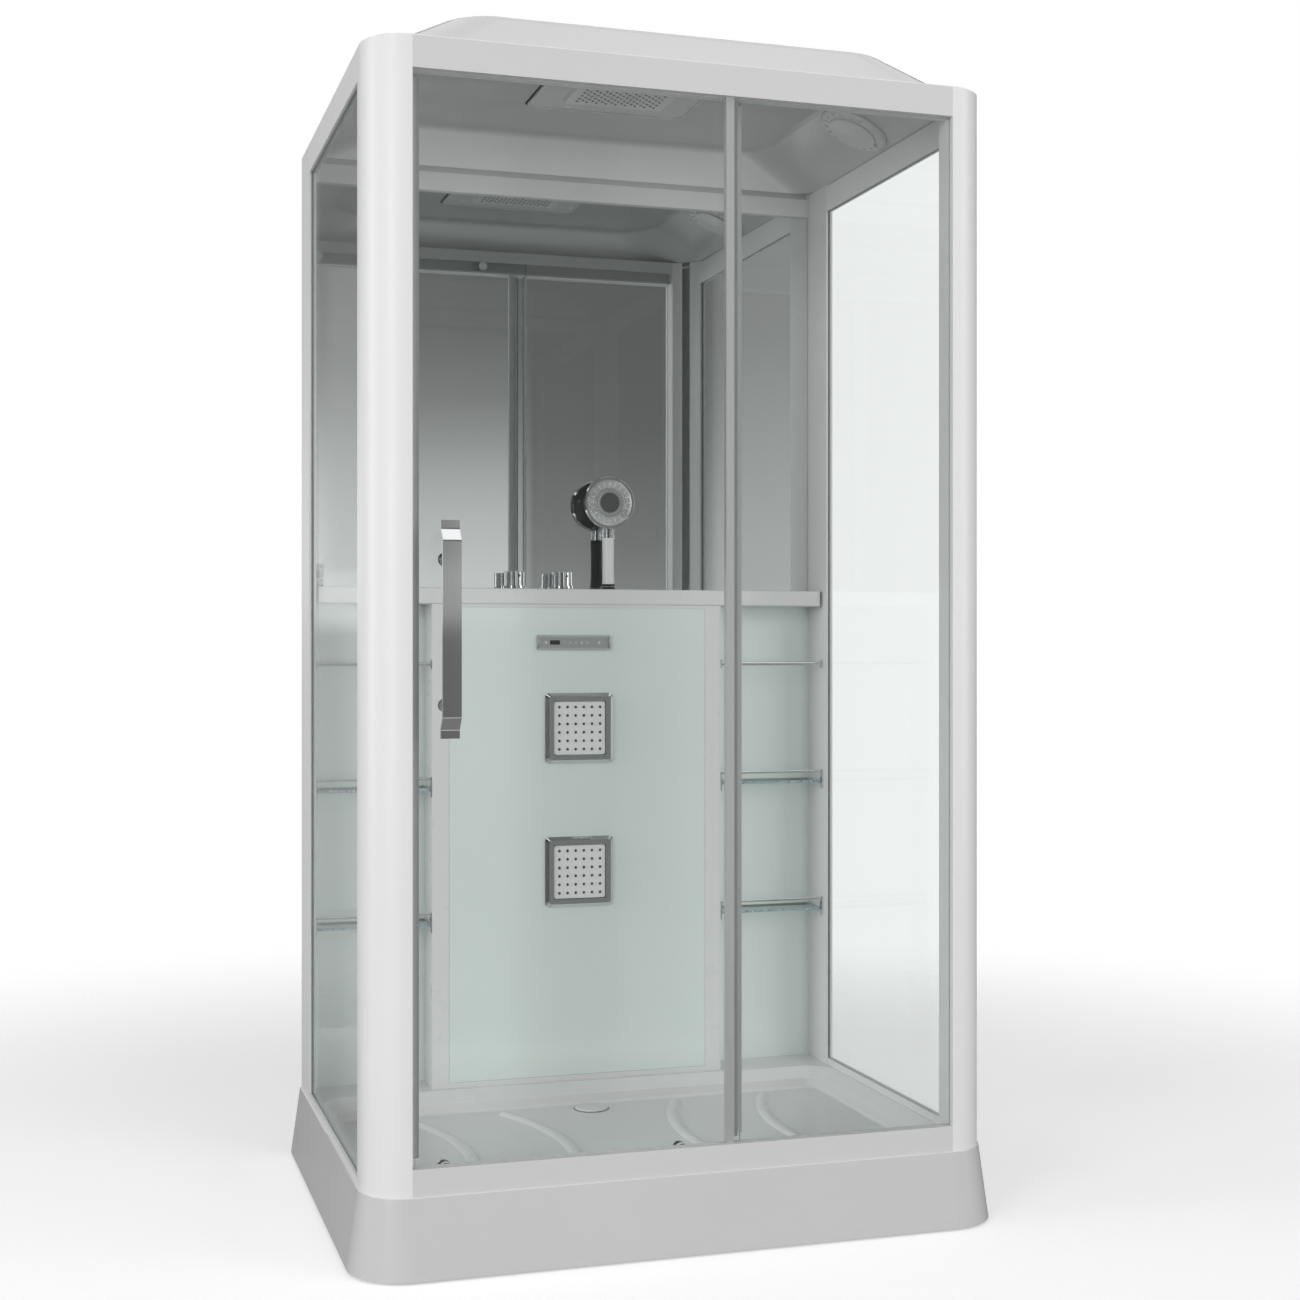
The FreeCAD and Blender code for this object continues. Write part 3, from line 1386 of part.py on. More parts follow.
def spray_face():
    """The turning face: a dished disc with a small lever tab at its rim."""
    back_y = head_front + face_pocket - seat_gap
    front_y = back_y - face_thickness
    dish_y = front_y + face_dish / 2
    nose_y = front_y - face_dish / 2
    depths_and_shares = [(back_y, 0), (back_y, 1), ((back_y + front_y) / 2, 1), (front_y, face_edge_share),
                         (front_y, dish_edge_share), (dish_y, dish_foot_share), (dish_y, dish_inner_share),
                         (nose_y, middle_share), (nose_y, 0)]
    disc = turned([on_head(face_radius * share, y) for y, share in depths_and_shares], on_head(0, 0), y_axis)
    root = face_radius * tab_root_share
    half = tab_width / 2
    corners = [Vector(root, front_y, -half), Vector(root + tab_length, front_y, -half / 2),
               Vector(root + tab_length, front_y, half / 2), Vector(root, front_y, half)]
    tab = polygon_prism(corners, y_axis * -face_dish * 2)
    tab = tab.fuse(polygon_prism(corners, y_axis * face_dish / 2))
    tab.rotate(Vector(0, 0, 0), y_axis, tab_angle)
    tab.translate(on_head(0, 0))
    return disc.fuse(tab)


# Knobs: fluted barrels on a wider foot, each on its spindle
knob_radius = 22.0
knob_foot_radius = 25.0
knob_foot_height = 5.0
knob_height = 36.0
knob_edge_radius = 2.5
knob_flute_count = 12
knob_flute_radius = 3.6
knob_flute_depth = 1.5
knob_gap = 1.5


def fluted_knob(x):
    """One knob, its flutes cut as a ring of rods round the barrel."""
    low = Vector(x, fitting_y, ledge_top + knob_gap)
    foot_top = low + z_axis * knob_foot_height
    foot = rod(low, foot_top, knob_foot_radius)
    barrel = rod(low, low + z_axis * knob_height, knob_radius)
    barrel = barrel.makeFillet(knob_edge_radius, edges_at_height(barrel, low.z + knob_height))
    reach = knob_radius + knob_flute_radius - knob_flute_depth
    flutes = []
    for number in range(knob_flute_count):
        angle = math.radians(360 * number / knob_flute_count)
        place = foot_top + Vector(reach * math.cos(angle), reach * math.sin(angle), 0)
        flutes.append(rod(place, place + z_axis * knob_height, knob_flute_radius))
    knob = barrel.cut(Part.makeCompound(flutes)).fuse(foot)
    under = low - z_axis * overrun
    neck_room = rod(under, low + z_axis * seat_gap, valve_neck_radius + seat_gap)
    bore_top = Vector(x, fitting_y, ledge_top + spindle_rise + seat_gap)
    return knob.cut(neck_room).cut(rod(under, bore_top, spindle_radius + running_gap))


# Roof: a thin moulded dome with sloped mitred sides and a flat ceiling, on a flange over the rails
roof_flange = 3.0
roof_flange_margin = 5.0
roof_wall = 4.0
ceiling_end_inset = 144.0
ceiling_side_inset = 66.0
# Corner radii from the front left corner round to the rear left one
roof_foot_radii = (150.0, 150.0, 45.0, 45.0)
roof_top_radii = (100.0, 100.0, 60.0, 60.0)
roof_crown_radius = 36.0
front_foot_setback = 15.0
rear_foot_setback = 26.0

roof_top = frame_top + roof_rise
ceiling_z = roof_top - roof_wall
foot_half = inner_half
foot_front = frame_front + front_foot_setback
foot_rear = frame_rear - rear_foot_setback
top_half = foot_half - ceiling_end_inset
roof_front_top_y = foot_front + ceiling_side_inset
roof_rear_top_y = foot_rear - ceiling_side_inset


def dome_outline(half, front, rear, radii, grow, z):
    """A level outline of the dome, wide corners at the front, grown sideways."""
    return rounded_outline(-half - grow, half + grow, front - grow, rear + grow,
                           [radius + grow for radius in radii], z)


def dome_block(grow, top_z, crown_radius):
    """The dome as a solid, grown sideways, from the rails to a top height with a rounded crown."""
    foot = dome_outline(foot_half, foot_front, foot_rear, roof_foot_radii, grow, frame_top)
    head = dome_outline(top_half, roof_front_top_y, roof_rear_top_y, roof_top_radii, grow, top_z)
    dome = Part.makeLoft([foot, head], True, True)
    return dome.makeFillet(crown_radius, edges_at_height(dome, top_z))


# Rain head, its inlet boss on the roof, and the round fitting on the right-hand slope
rain_size = 330.0
rain_x = 0.0
rain_y = -10.0
rain_corner_radius = 18.0
rain_frame_drop = 2.0
rain_face_size = 210.0
rain_face_drop = 7.0
rain_face_radius = 14.0
rain_face_bevel = 4.0
inlet_boss_radius = 16.0
inlet_boss_height = 18.0
inlet_throat_radius = 9.0
inlet_port_radius = 8.0
fitting_ring_radius = 72.0
fitting_ring_inner = 40.0
fitting_ring_height = 9.0
fitting_disc_radius = 50.0
fitting_disc_height = 5.0
fitting_disc_crown = 3.0
fitting_body_radius = 44.0
fitting_body_height = 26.0
fitting_y_place = 4.0

slope_angle = math.degrees(math.atan2(roof_rise - roof_wall, ceiling_end_inset))


def on_slope(shape):
    """Moves a piece from the origin, where +Z is the way out of the roof, to the right-hand slope."""
    shape.rotate(Vector(0, 0, 0), y_axis, slope_angle)
    middle_x = (foot_half + top_half) / 2
    middle_z = (frame_top + ceiling_z) / 2
    shape.translate(Vector(middle_x, fitting_y_place, middle_z))
    return shape


def roof_dome():
    """The roof shell with its flange, a hole for the rain head's inlet and one for the round fitting."""
    outer = dome_block(roof_wall, roof_top, roof_crown_radius)
    inner = dome_block(0, ceiling_z, roof_crown_radius - roof_wall)
    flange_half = frame_half - roof_flange_margin
    flange_radius_front = post_corner_radius - roof_flange_margin
    flange_outline = rounded_outline(-flange_half, flange_half, frame_front + roof_flange_margin,
                                     frame_rear - roof_flange_margin,
                                     (flange_radius_front, flange_radius_front, 0, 0), frame_top)
    flange = Part.Face(flange_outline).extrude(z_axis * roof_flange)
    opening = dome_outline(foot_half, foot_front, foot_rear, roof_foot_radii, 0, frame_top - overrun)
    way_in = Part.Face(opening).extrude(z_axis * overrun)
    shell = outer.fuse(flange).cut(inner).cut(way_in)
    inlet_hole = rod(Vector(rain_x, rain_y, ceiling_z - overrun), Vector(rain_x, rain_y, roof_top + overrun),
                     inlet_throat_radius + seat_gap)
    slope_hole = on_slope(rod(z_axis * -fitting_body_height, z_axis * fitting_body_height,
                              fitting_body_radius + panel_play))
    notch = riser_notch(frame_top - overrun, frame_top + overrun)
    return shell.cut(inlet_hole).cut(slope_hole).cut(notch)


def rain_surround():
    """The thin square plate under the ceiling."""
    half = rain_size / 2
    low_z = ceiling_z - rain_frame_drop
    low = Vector(rain_x - half, rain_y - half, low_z)
    high = Vector(rain_x + half, rain_y + half, ceiling_z)
    plate = plate_with_round_corners(low, high, rain_corner_radius, z_axis)
    boss_foot = Vector(rain_x, rain_y, roof_top)
    throat = rod(Vector(rain_x, rain_y, low_z), boss_foot, inlet_throat_radius)
    boss = rod(boss_foot, boss_foot + z_axis * inlet_boss_height, inlet_boss_radius)
    inlet = boss_foot + z_axis * (inlet_boss_height / 2)
    port = rod(inlet, inlet + roof_inlet_way() * (inlet_boss_radius + port_length), inlet_port_radius)
    return fuse_all([plate, throat, boss, port])


def rain_face():
    """The raised nozzle face with bevelled edges."""
    outlines = []
    for bevel, drop in ((0, 0), (rain_face_bevel, rain_face_drop)):
        half = rain_face_size / 2 - bevel
        outlines.append(rounded_outline(rain_x - half, rain_x + half, rain_y - half, rain_y + half,
                                        (rain_face_radius - bevel,) * 4, ceiling_z - rain_frame_drop - drop))
    return Part.makeLoft(outlines, True, True)


def fitting_ring():
    """The ring of the round fitting, with its body through the roof."""
    levels = [(0, 0), (fitting_ring_radius, 0), (fitting_ring_radius, -fitting_ring_height / 2),
              (fitting_ring_radius - fitting_ring_height / 2, -fitting_ring_height),
              (fitting_ring_inner, -fitting_ring_height), (fitting_ring_inner, -fitting_ring_height / 2),
              (0, -fitting_ring_height / 2)]
    ring = turned([Vector(radius, 0, z) for radius, z in levels], Vector(0, 0, 0), z_axis)
    body = rod(Vector(0, 0, 0), Vector(0, 0, fitting_body_height), fitting_body_radius)
    return on_slope(ring.fuse(body))


def fitting_disc():
    """The raised inner disc with its crowned face."""
    base_z = -fitting_ring_height
    stem_radius = fitting_ring_inner - panel_play
    levels = [(0, -fitting_ring_height / 2), (stem_radius, -fitting_ring_height / 2), (stem_radius, base_z),
              (fitting_disc_radius, base_z), (fitting_disc_radius, base_z - fitting_disc_height / 2),
              (fitting_disc_radius - fitting_disc_height / 2, base_z - fitting_disc_height),
              (0, base_z - fitting_disc_height - fitting_disc_crown)]
    return on_slope(turned([Vector(radius, 0, z) for radius, z in levels], Vector(0, 0, 0), z_axis))


keep("mixer_valve", mixer_valve())
keep("diverter_valve", valve_tower(diverter_x, [x_axis, x_axis * -1, y_axis]))
keep("supply_pipes", supply_pipes())
keep("handset_socket", handset_socket())
keep("handset_grip", handset_grip())
keep("handset_body", handset_body())
keep("spray_face", spray_face())
keep("mixer_knob", fluted_knob(mixer_x))
keep("diverter_knob", fluted_knob(diverter_x))
keep("roof_dome", roof_dome())
keep("rain_surround", rain_surround())
keep("rain_face", rain_face())
keep("ceiling_fitting_ring", fitting_ring())
keep("ceiling_fitting_disc", fitting_disc())


for node_name, node_shape in pieces.items():
    if not node_shape.isValid():
        print("not valid:", node_name)
    node_shape.exportStep("parts/" + node_name + ".step")
    print(node_name, "solids", len(node_shape.Solids), "volume", round(node_shape.Volume))
print("pieces", len(pieces))
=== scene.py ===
import math

import bpy
from mathutils import Matrix, Vector


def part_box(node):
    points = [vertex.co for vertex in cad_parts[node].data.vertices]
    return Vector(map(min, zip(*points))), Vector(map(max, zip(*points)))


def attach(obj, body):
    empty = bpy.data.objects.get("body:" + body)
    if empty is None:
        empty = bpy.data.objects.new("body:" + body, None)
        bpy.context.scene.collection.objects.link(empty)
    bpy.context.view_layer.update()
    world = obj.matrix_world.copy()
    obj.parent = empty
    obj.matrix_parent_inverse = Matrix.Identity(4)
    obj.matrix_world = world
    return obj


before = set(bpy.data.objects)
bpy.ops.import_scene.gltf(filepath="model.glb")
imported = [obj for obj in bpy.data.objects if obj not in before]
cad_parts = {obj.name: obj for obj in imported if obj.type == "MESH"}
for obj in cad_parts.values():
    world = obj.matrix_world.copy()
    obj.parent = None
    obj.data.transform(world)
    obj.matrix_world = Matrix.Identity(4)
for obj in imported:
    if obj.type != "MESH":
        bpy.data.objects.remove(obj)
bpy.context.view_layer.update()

# Camera
# It stands a little to the left of the cabin at chest height, level, and looks past its left-hand
# post, so that the front and the left side both show.
eye = (-1.0707, -3.5978, 1.060)
turn_to_right = 17.316
lens_mm = 52.70

bpy.ops.object.camera_add(location=eye, rotation=(math.pi / 2, 0, -math.radians(turn_to_right)))
camera = bpy.context.object
camera.name = "camera"
camera.data.lens = lens_mm
camera.data.sensor_width = 36.0
camera.data.clip_start = 0.05
camera.data.clip_end = 80.0
bpy.context.scene.camera = camera

# Studio
# A pale floor that fades into the white room, five large soft boxes, and grey cards far off that only
# polished metal and the mirror pick up, as a photographer sets them round a glass cabin. Of the soft
# boxes only the one overhead shows in gloss.
scene = bpy.context.scene
scene.view_settings.view_transform = "Standard"
scene.cycles.transparent_max_bounces = 32  # enough for many panes, one behind another


class Reading:
    """A number or colour inside a material. Operators on it add the Math nodes that work it out."""

    def __init__(self, finish, socket):
        self.finish = finish
        self.socket = socket

    def __add__(self, other):
        return self.finish.worked("ADD", self, other)

    def __sub__(self, other):
        return self.finish.worked("SUBTRACT", self, other)

    def __rsub__(self, other):
        return self.finish.worked("SUBTRACT", other, self)

    def __mul__(self, other):
        return self.finish.worked("MULTIPLY", self, other)

    def __truediv__(self, other):
        return self.finish.worked("DIVIDE", self, other)

    def __pow__(self, other):
        return self.finish.worked("POWER", self, other)

    def __gt__(self, other):
        return self.finish.worked("GREATER_THAN", self, other)

    def __lt__(self, other):
        return self.finish.worked("LESS_THAN", self, other)

    def __abs__(self):
        return self.finish.worked("ABSOLUTE", self)

    __radd__ = __add__


class Finish:
    """A node tree in the making, of a material or of the room."""

    def __init__(self, tree, output="ShaderNodeOutputMaterial"):
        self.tree = tree
        tree.nodes.clear()
        self.output = tree.nodes.new(output)

    def add(self, kind, settings=None, sockets=None, out=0):
        """Adds a node, its settings first, then the values or links of its sockets."""
        node = self.tree.nodes.new(kind)
        for name, value in (settings or {}).items():
            setattr(node, name, value)
        for name, value in (sockets or {}).items():
            if isinstance(value, Reading):
                self.tree.links.new(value.socket, node.inputs[name])
            else:
                node.inputs[name].default_value = value
        return Reading(self, node.outputs[out])

    def worked(self, operation, *numbers):
        """What a Math node makes of one or two numbers."""
        return self.add("ShaderNodeMath", {"operation": operation}, dict(enumerate(numbers)))

    def ramp(self, steps, share):
        """A grey read off a row of steps, each a place from 0 to 1 and its tone."""
        grey = self.add("ShaderNodeValToRGB", sockets={"Fac": share})
        elements = grey.socket.node.color_ramp.elements
        while len(elements) < len(steps):
            elements.new(1.0)
        for element, (place, tone) in zip(elements, steps):
            element.position = place
            element.color = (tone, tone, tone, 1.0)
        return grey

    def show(self, shader):
        """Makes a shader the one that is seen."""
        self.tree.links.new(shader.socket, self.output.inputs["Surface"])

    def place(self):
        """The point on the piece, in metres."""
        return self.add("ShaderNodeTexCoord", out="Object")

    def along(self, axis):
        """One coordinate of the point: X, Y or Z."""
        return self.add("ShaderNodeSeparateXYZ", sockets={"Vector": self.place()}, out=axis)

    def facing(self, axis):
        """One part of the surface's direction: X, Y or Z."""
        direction = self.add("ShaderNodeTexCoord", out="Normal")
        return self.add("ShaderNodeSeparateXYZ", sockets={"Vector": direction}, out=axis)

    def noise(self, scale, detail=3.0, stretch=(1.0, 1.0, 1.0)):
        """Soft random variation from 0 to 1, so many waves to the metre."""
        point = self.add("ShaderNodeMapping", sockets={"Vector": self.place(), "Scale": stretch})
        return self.add("ShaderNodeTexNoise", sockets={"Vector": point, "Scale": scale, "Detail": detail})

    def between(self, share, low, high):
        """A colour between two others."""
        low = low if isinstance(low, Reading) else (*low, 1.0)
        high = high if isinstance(high, Reading) else (*high, 1.0)
        return self.add("ShaderNodeMix", {"data_type": "RGBA"}, {0: share, 6: low, 7: high}, out=2)

    def bump(self, height, strength, depth):
        """A fine relief, depth in metres."""
        return self.add("ShaderNodeBump", sockets={
            "Height": height, "Strength": strength, "Distance": depth})

    def surface(self, **sockets):
        """The main shader, with its sockets given by name."""
        named = {name.replace("_", " "): value for name, value in sockets.items()}
        for name, value in named.items():
            if name in ("Base Color", "Emission Color") and not isinstance(value, Reading):
                named[name] = (*value, 1.0)
        return self.add("ShaderNodeBsdfPrincipled", sockets=named)


def new_finish(name):
    """Starts a material and returns it with its node tree."""
    material = bpy.data.materials.new(name)
    material.use_nodes = True
    return material, Finish(material.node_tree)


def dress(material, *names):
    """Gives CAD nodes a material in every slot."""
    for name in names:
        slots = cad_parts[name].data.materials
        for number in range(len(slots)):
            slots[number] = material


floor_reach = 4.5
floor_fade_start = 1.3
floor_fade_end = 3.4
floor_white = (0.86, 0.86, 0.86)
floor_reflected = (0.42, 0.42, 0.42)  # for gloss and bounced light, where white would glare
floor_lift = 0.42

bpy.ops.mesh.primitive_grid_add(x_subdivisions=8, y_subdivisions=8, size=2 * floor_reach)
floor = bpy.context.object
floor.name = "studio_floor"
floor_material, finish = new_finish("studio_floor")
reach = finish.add("ShaderNodeVectorMath", {"operation": "LENGTH"}, {0: finish.place()}, out="Value")
fade = finish.add("ShaderNodeMapRange", {"interpolation_type": "SMOOTHSTEP"},
                  {"Value": reach, "From Min": floor_fade_start, "From Max": floor_fade_end})
reflected = finish.add("ShaderNodeLightPath", out="Is Reflection Ray")
paper = finish.surface(Base_Color=finish.between(reflected, floor_white, floor_reflected),
                       Roughness=0.9, Specular_IOR_Level=0.1,
                       Emission_Color=(1, 1, 1), Emission_Strength=(1.0 - reflected) * floor_lift)
clear = finish.add("ShaderNodeBsdfTransparent")
finish.show(finish.add("ShaderNodeMixShader", sockets={0: fade, 1: paper, 2: clear}))
floor.data.materials.append(floor_material)

room_light = 0.21


def looked_at(finish):
    """1 for what the camera sees, straight or in gloss and glass, and 0 for what only lights things."""
    seen = finish.add("ShaderNodeLightPath", out="Is Camera Ray")
    for ray in ("Is Glossy Ray", "Is Transmission Ray"):
        seen = finish.worked("MAXIMUM", seen, finish.add("ShaderNodeLightPath", out=ray))
    return seen


world = bpy.data.worlds.new("white_room")
scene.world = world
world.use_nodes = True
finish = Finish(world.node_tree, "ShaderNodeOutputWorld")
strength = room_light + looked_at(finish) * (1.0 - room_light)
finish.show(finish.add("ShaderNodeBackground", sockets={"Color": (1, 1, 1, 1), "Strength": strength}))

soft_boxes = (  # name, place, side length, watts, whether it shows in gloss
    ("key_box", (-4.3, -4.3, 2.3), 2.4, 104.0, False),
    ("side_box", (-6.0, -0.4, 1.9), 2.2, 114.0, False),
    ("front_box", (0.8, -6.0, 0.85), 1.6, 80.0, False),
    ("fill_box", (3.9, -4.2, 2.4), 3.0, 80.0, False),
    ("top_box", (0.3, -1.2, 4.6), 3.2, 16.0, True),
)
cabin_middle = Vector((0.0, 0.0, 1.1))

for box_name, box_place, box_size, box_power, in_gloss in soft_boxes:
    aim = (cabin_middle - Vector(box_place)).to_track_quat("-Z", "Y").to_euler()
    bpy.ops.object.light_add(type="AREA", location=box_place, rotation=aim)
    lamp = bpy.context.object
    lamp.name = box_name
    lamp.data.shape = "SQUARE"
    lamp.data.size = box_size
    lamp.data.energy = box_power
    lamp.visible_glossy = in_gloss

card_radius = 7.0
card_low = -1.0
card_high = 6.5
card_sides = 48
bounce_share = 0.25
# Each climb gives a card's greys from foot to head. Each round says where on the circle a card stands:
# 0.5 is straight in front of the cabin and 0.75 to its right. The flags set how brightly they all glow,
# bearing by bearing.
card_climb = ((0.0, 0.25), (0.285, 0.25), (0.30, 0.62), (0.33, 0.66), (0.38, 0.56), (0.412, 0.46),
              (0.444, 0.34), (0.477, 0.24), (0.541, 0.155), (0.72, 0.10), (0.92, 0.10), (1.0, 0.5))
dark_card_climb = ((0.0, 0.2), (0.285, 0.2), (0.30, 0.28), (0.36, 0.20), (0.45, 0.14), (0.60, 0.12),
                   (1.0, 0.10))
dark_card_round = ((0.0, 0.0), (0.5355, 0.0), (0.5370, 1.0), (0.5634, 1.0), (0.5642, 0.0))
handle_card_climb = ((0.0, 0.18), (0.290, 0.20), (0.296, 0.49), (0.334, 0.51), (0.340, 0.34), (1.0, 0.3))
handle_card_round = ((0.0, 0.0), (0.510, 0.0), (0.511, 1.0), (0.5215, 1.0), (0.5225, 0.0))
side_card_climb = ((0.0, 0.25), (0.285, 0.30), (0.30, 0.55), (0.362, 0.525), (0.411, 0.477),
                   (0.459, 0.427), (0.531, 0.34), (0.70, 0.28), (1.0, 0.3))
side_card_round = ((0.0, 0.0), (0.5634, 0.0), (0.5642, 1.0), (0.585, 1.0), (0.586, 0.0))
bright_strip_climb = ((0.0, 0.1), (0.15, 0.2), (0.20, 1.0), (0.70, 1.0), (0.75, 0.2))
bright_strip_round = ((0.0, 0.0), (0.214, 0.0), (0.216, 1.0), (0.255, 1.0), (0.257, 0.0), (0.364, 0.0),
                      (0.366, 1.0), (0.392, 1.0), (0.394, 0.0), (0.650, 0.0), (0.652, 1.0), (0.690, 1.0),
                      (0.692, 0.0))
bright_strip_glow = 2.7
flags_round = ((0.0, 1.5), (0.12, 1.5), (0.14, 0.5), (0.208, 0.4), (0.212, 1.0), (0.258, 1.0),
               (0.262, 0.12), (0.358, 0.12), (0.362, 1.0), (0.395, 1.0), (0.399, 0.12), (0.500, 0.12),
               (0.507, 1.0), (0.578, 1.0), (0.585, 0.12), (0.643, 0.12), (0.648, 1.0), (0.694, 1.0),
               (0.700, 0.3), (1.0, 0.8))


def bounced(finish):
    """1 for light on its way from one matt surface to another, which sees the studio less bright."""
    return finish.add("ShaderNodeLightPath", out="Diffuse Depth") > 0.5


bpy.ops.mesh.primitive_cylinder_add(vertices=card_sides, radius=card_radius, depth=card_high - card_low,
                                    end_fill_type="NOTHING", location=(0, 0, (card_high + card_low) / 2))
cards = bpy.context.object
cards.name = "studio_cards"
bpy.ops.object.transform_apply(location=True, rotation=True, scale=True)
card_material, finish = new_finish("studio_cards")
climb = (finish.along("Z") - card_low) / (card_high - card_low)
bearing = finish.worked("ARCTAN2", finish.along("X"), 0.0 - finish.along("Y")) / math.tau + 0.5
tone = finish.ramp(card_climb, climb)
for steps_round, steps_climb, glow in ((dark_card_round, dark_card_climb, 1.0),
                                       (handle_card_round, handle_card_climb, 1.0),
                                       (side_card_round, side_card_climb, 1.0),
                                       (bright_strip_round, bright_strip_climb, bright_strip_glow)):
    card_tone = finish.ramp(steps_climb, climb) * glow
    tone = finish.between(finish.ramp(steps_round, bearing), tone, card_tone)
glow_left = finish.ramp(flags_round, bearing) * (1.0 - bounced(finish) * (1.0 - bounce_share))
finish.show(finish.add("ShaderNodeEmission", sockets={"Color": tone, "Strength": glow_left}))
cards.data.materials.append(card_material)
cards.visible_camera = cards.visible_diffuse = cards.visible_shadow = False
cards.visible_transmission = cards.visible_volume_scatter = False

# Tray frame and feet
# Zinc-plated square tube, welded, on screw feet with lock nuts. The plating has the mottled spangle
# and slight dullness of zinc.
zinc, finish = new_finish("zinc_plated_steel")
spangle = finish.add("ShaderNodeTexVoronoi", {"feature": "F1"},
                     {"Vector": finish.place(), "Scale": 90.0}, out="Distance")
finish.show(finish.surface(
    Base_Color=finish.between(spangle, (0.56, 0.58, 0.60), (0.40, 0.42, 0.44)),
    Metallic=1.0, Roughness=0.34 + spangle * 0.22, Normal=finish.bump(spangle, 0.1, 0.0004)))
dress(zinc, "tray_frame", "levelling_feet", "foot_lock_nuts")

# Shower tray
# Thermoformed from one white acrylic sheet with fibreglass behind it: glossy, with the faint waviness
# of a formed sheet. The apron, which faces sideways, is given a greyer white than the basin: painted shade.
apron_facing = 0.35  # the upward part of the surface's direction
floor_facing = 0.65


def show_acrylic(finish, white, bloom):
    """Shows a white as formed acrylic sheet, glossy and faintly wavy."""
    finish.show(finish.surface(
        Base_Color=white, Roughness=0.18 + bloom * 0.10,
        Normal=finish.bump(finish.noise(14.0, 1.0), 0.12, 0.002), Coat_Weight=0.25, Coat_Roughness=0.08))


tray_acrylic, finish = new_finish("tray_acrylic")
bloom = finish.noise(3.5, 4.0)
# Painted shade: the share runs from the sideways-facing apron, given a greyer white, to the upward-facing
# basin.
apron_shade_share = (finish.facing("Z") - apron_facing) / (floor_facing - apron_facing)
shaded_apron_white = finish.between(bloom, (0.675, 0.675, 0.672), (0.645, 0.647, 0.643))
basin_white = finish.between(bloom, (0.815, 0.815, 0.812), (0.785, 0.787, 0.783))
show_acrylic(finish, finish.between(apron_shade_share, shaded_apron_white, basin_white), bloom)
dress(tray_acrylic, "shower_tray")

# Drain
# A nickel-plated brass flange and throat clamp the tray over a rubber gasket; a grey polypropylene trap
# hangs below and a white moulded cover drops in from above. The control unit and the jets' chambers, in
# the column, are of the trap's moulding.
# Partly painted shade: the nickel is given a dark grey so that the flange reads as the shadow line under the
# cover.
nickel_and_shade, finish = new_finish("nickel_plate_and_shade")
bloom = finish.noise(60.0, 4.0)
finish.show(finish.surface(
    Base_Color=finish.between(bloom, (0.34, 0.34, 0.33), (0.26, 0.26, 0.255)),
    Metallic=1.0, Roughness=0.2 + bloom * 0.15))
dress(nickel_and_shade, "drain_flange")

rubber, finish = new_finish("black_rubber")
finish.show(finish.surface(
    Base_Color=finish.between(finish.noise(120.0), (0.02, 0.02, 0.02), (0.045, 0.045, 0.045)),
    Roughness=0.75, Normal=finish.bump(finish.noise(700.0), 0.25, 0.0003)))
dress(rubber, "drain_gasket")

grey_moulding, finish = new_finish("grey_polypropylene")
mould_grain = finish.noise(1500.0, 2.0)
finish.show(finish.surface(
    Base_Color=finish.between(finish.noise(20.0), (0.42, 0.43, 0.44), (0.36, 0.37, 0.38)),
    Roughness=0.45 + mould_grain * 0.1, Normal=finish.bump(mould_grain, 0.3, 0.0002)))
dress(grey_moulding, "drain_trap", "control_unit", "jet_chambers")

white_abs, finish = new_finish("white_gloss_plastic")
finish.show(finish.surface(
    Base_Color=finish.between(finish.noise(9.0), (0.80, 0.80, 0.79), (0.77, 0.77, 0.765)),
    Roughness=0.22 + finish.noise(30.0) * 0.08, Normal=finish.bump(finish.noise(60.0, 1.0), 0.08, 0.0008)))
dress(white_abs, "drain_cover", "rain_surround", "ceiling_fitting_ring", "ceiling_fitting_disc")

# Posts and rails
# Extruded aluminium, screwed together, with a fine orange peel in its powder coat. The front posts and
# the side top rails are glossy, the rear frame, sills and front rails satin. The one white coat is given
# three whites to paint light and shade: lightest on the posts and side top rails, greyer on the rear frame
# and sills, greyest on the front rails.
# Painted light and shade: the same coat in three copies, each with its own white for how lit its pieces
# look.
for coat_name, coat_painted_light_white, coat_shade, coat_roughness, coated in (
        ("gloss_coat_painted_light", 0.885, 0.855, 0.28,
         ("right_front_post", "left_front_post", "side_top_rails")),
        ("satin_coat_painted_shade", 0.815, 0.785, 0.36,
         ("rear_profiles", "side_sills", "rear_top_rail", "rear_sill")),
        ("front_rail_coat_painted_shade", 0.715, 0.69, 0.36, ("front_top_rail", "front_bottom_rail"))):
    powder_coat, finish = new_finish(coat_name)
    cloud = finish.noise(5.0, 3.0)
    finish.show(finish.surface(
        Base_Color=finish.between(cloud, (coat_painted_light_white,) * 3, (coat_shade,) * 3),
        Roughness=coat_roughness + cloud * 0.08, Normal=finish.bump(finish.noise(520.0, 2.0), 0.10, 0.0002)))
    dress(powder_coat, *coated)

# Glass
# Five-millimetre toughened panes with ground edges: clear and faintly green through the face, deep
# green along the edges. The door, the fixed front pane and both sides are cut from the same sheet.
gloss_head_on = 0.04
pane_tint = (0.984, 0.992, 0.989)
pane_edges = ((0.10, 0.19, 0.165), (0.17, 0.30, 0.26))


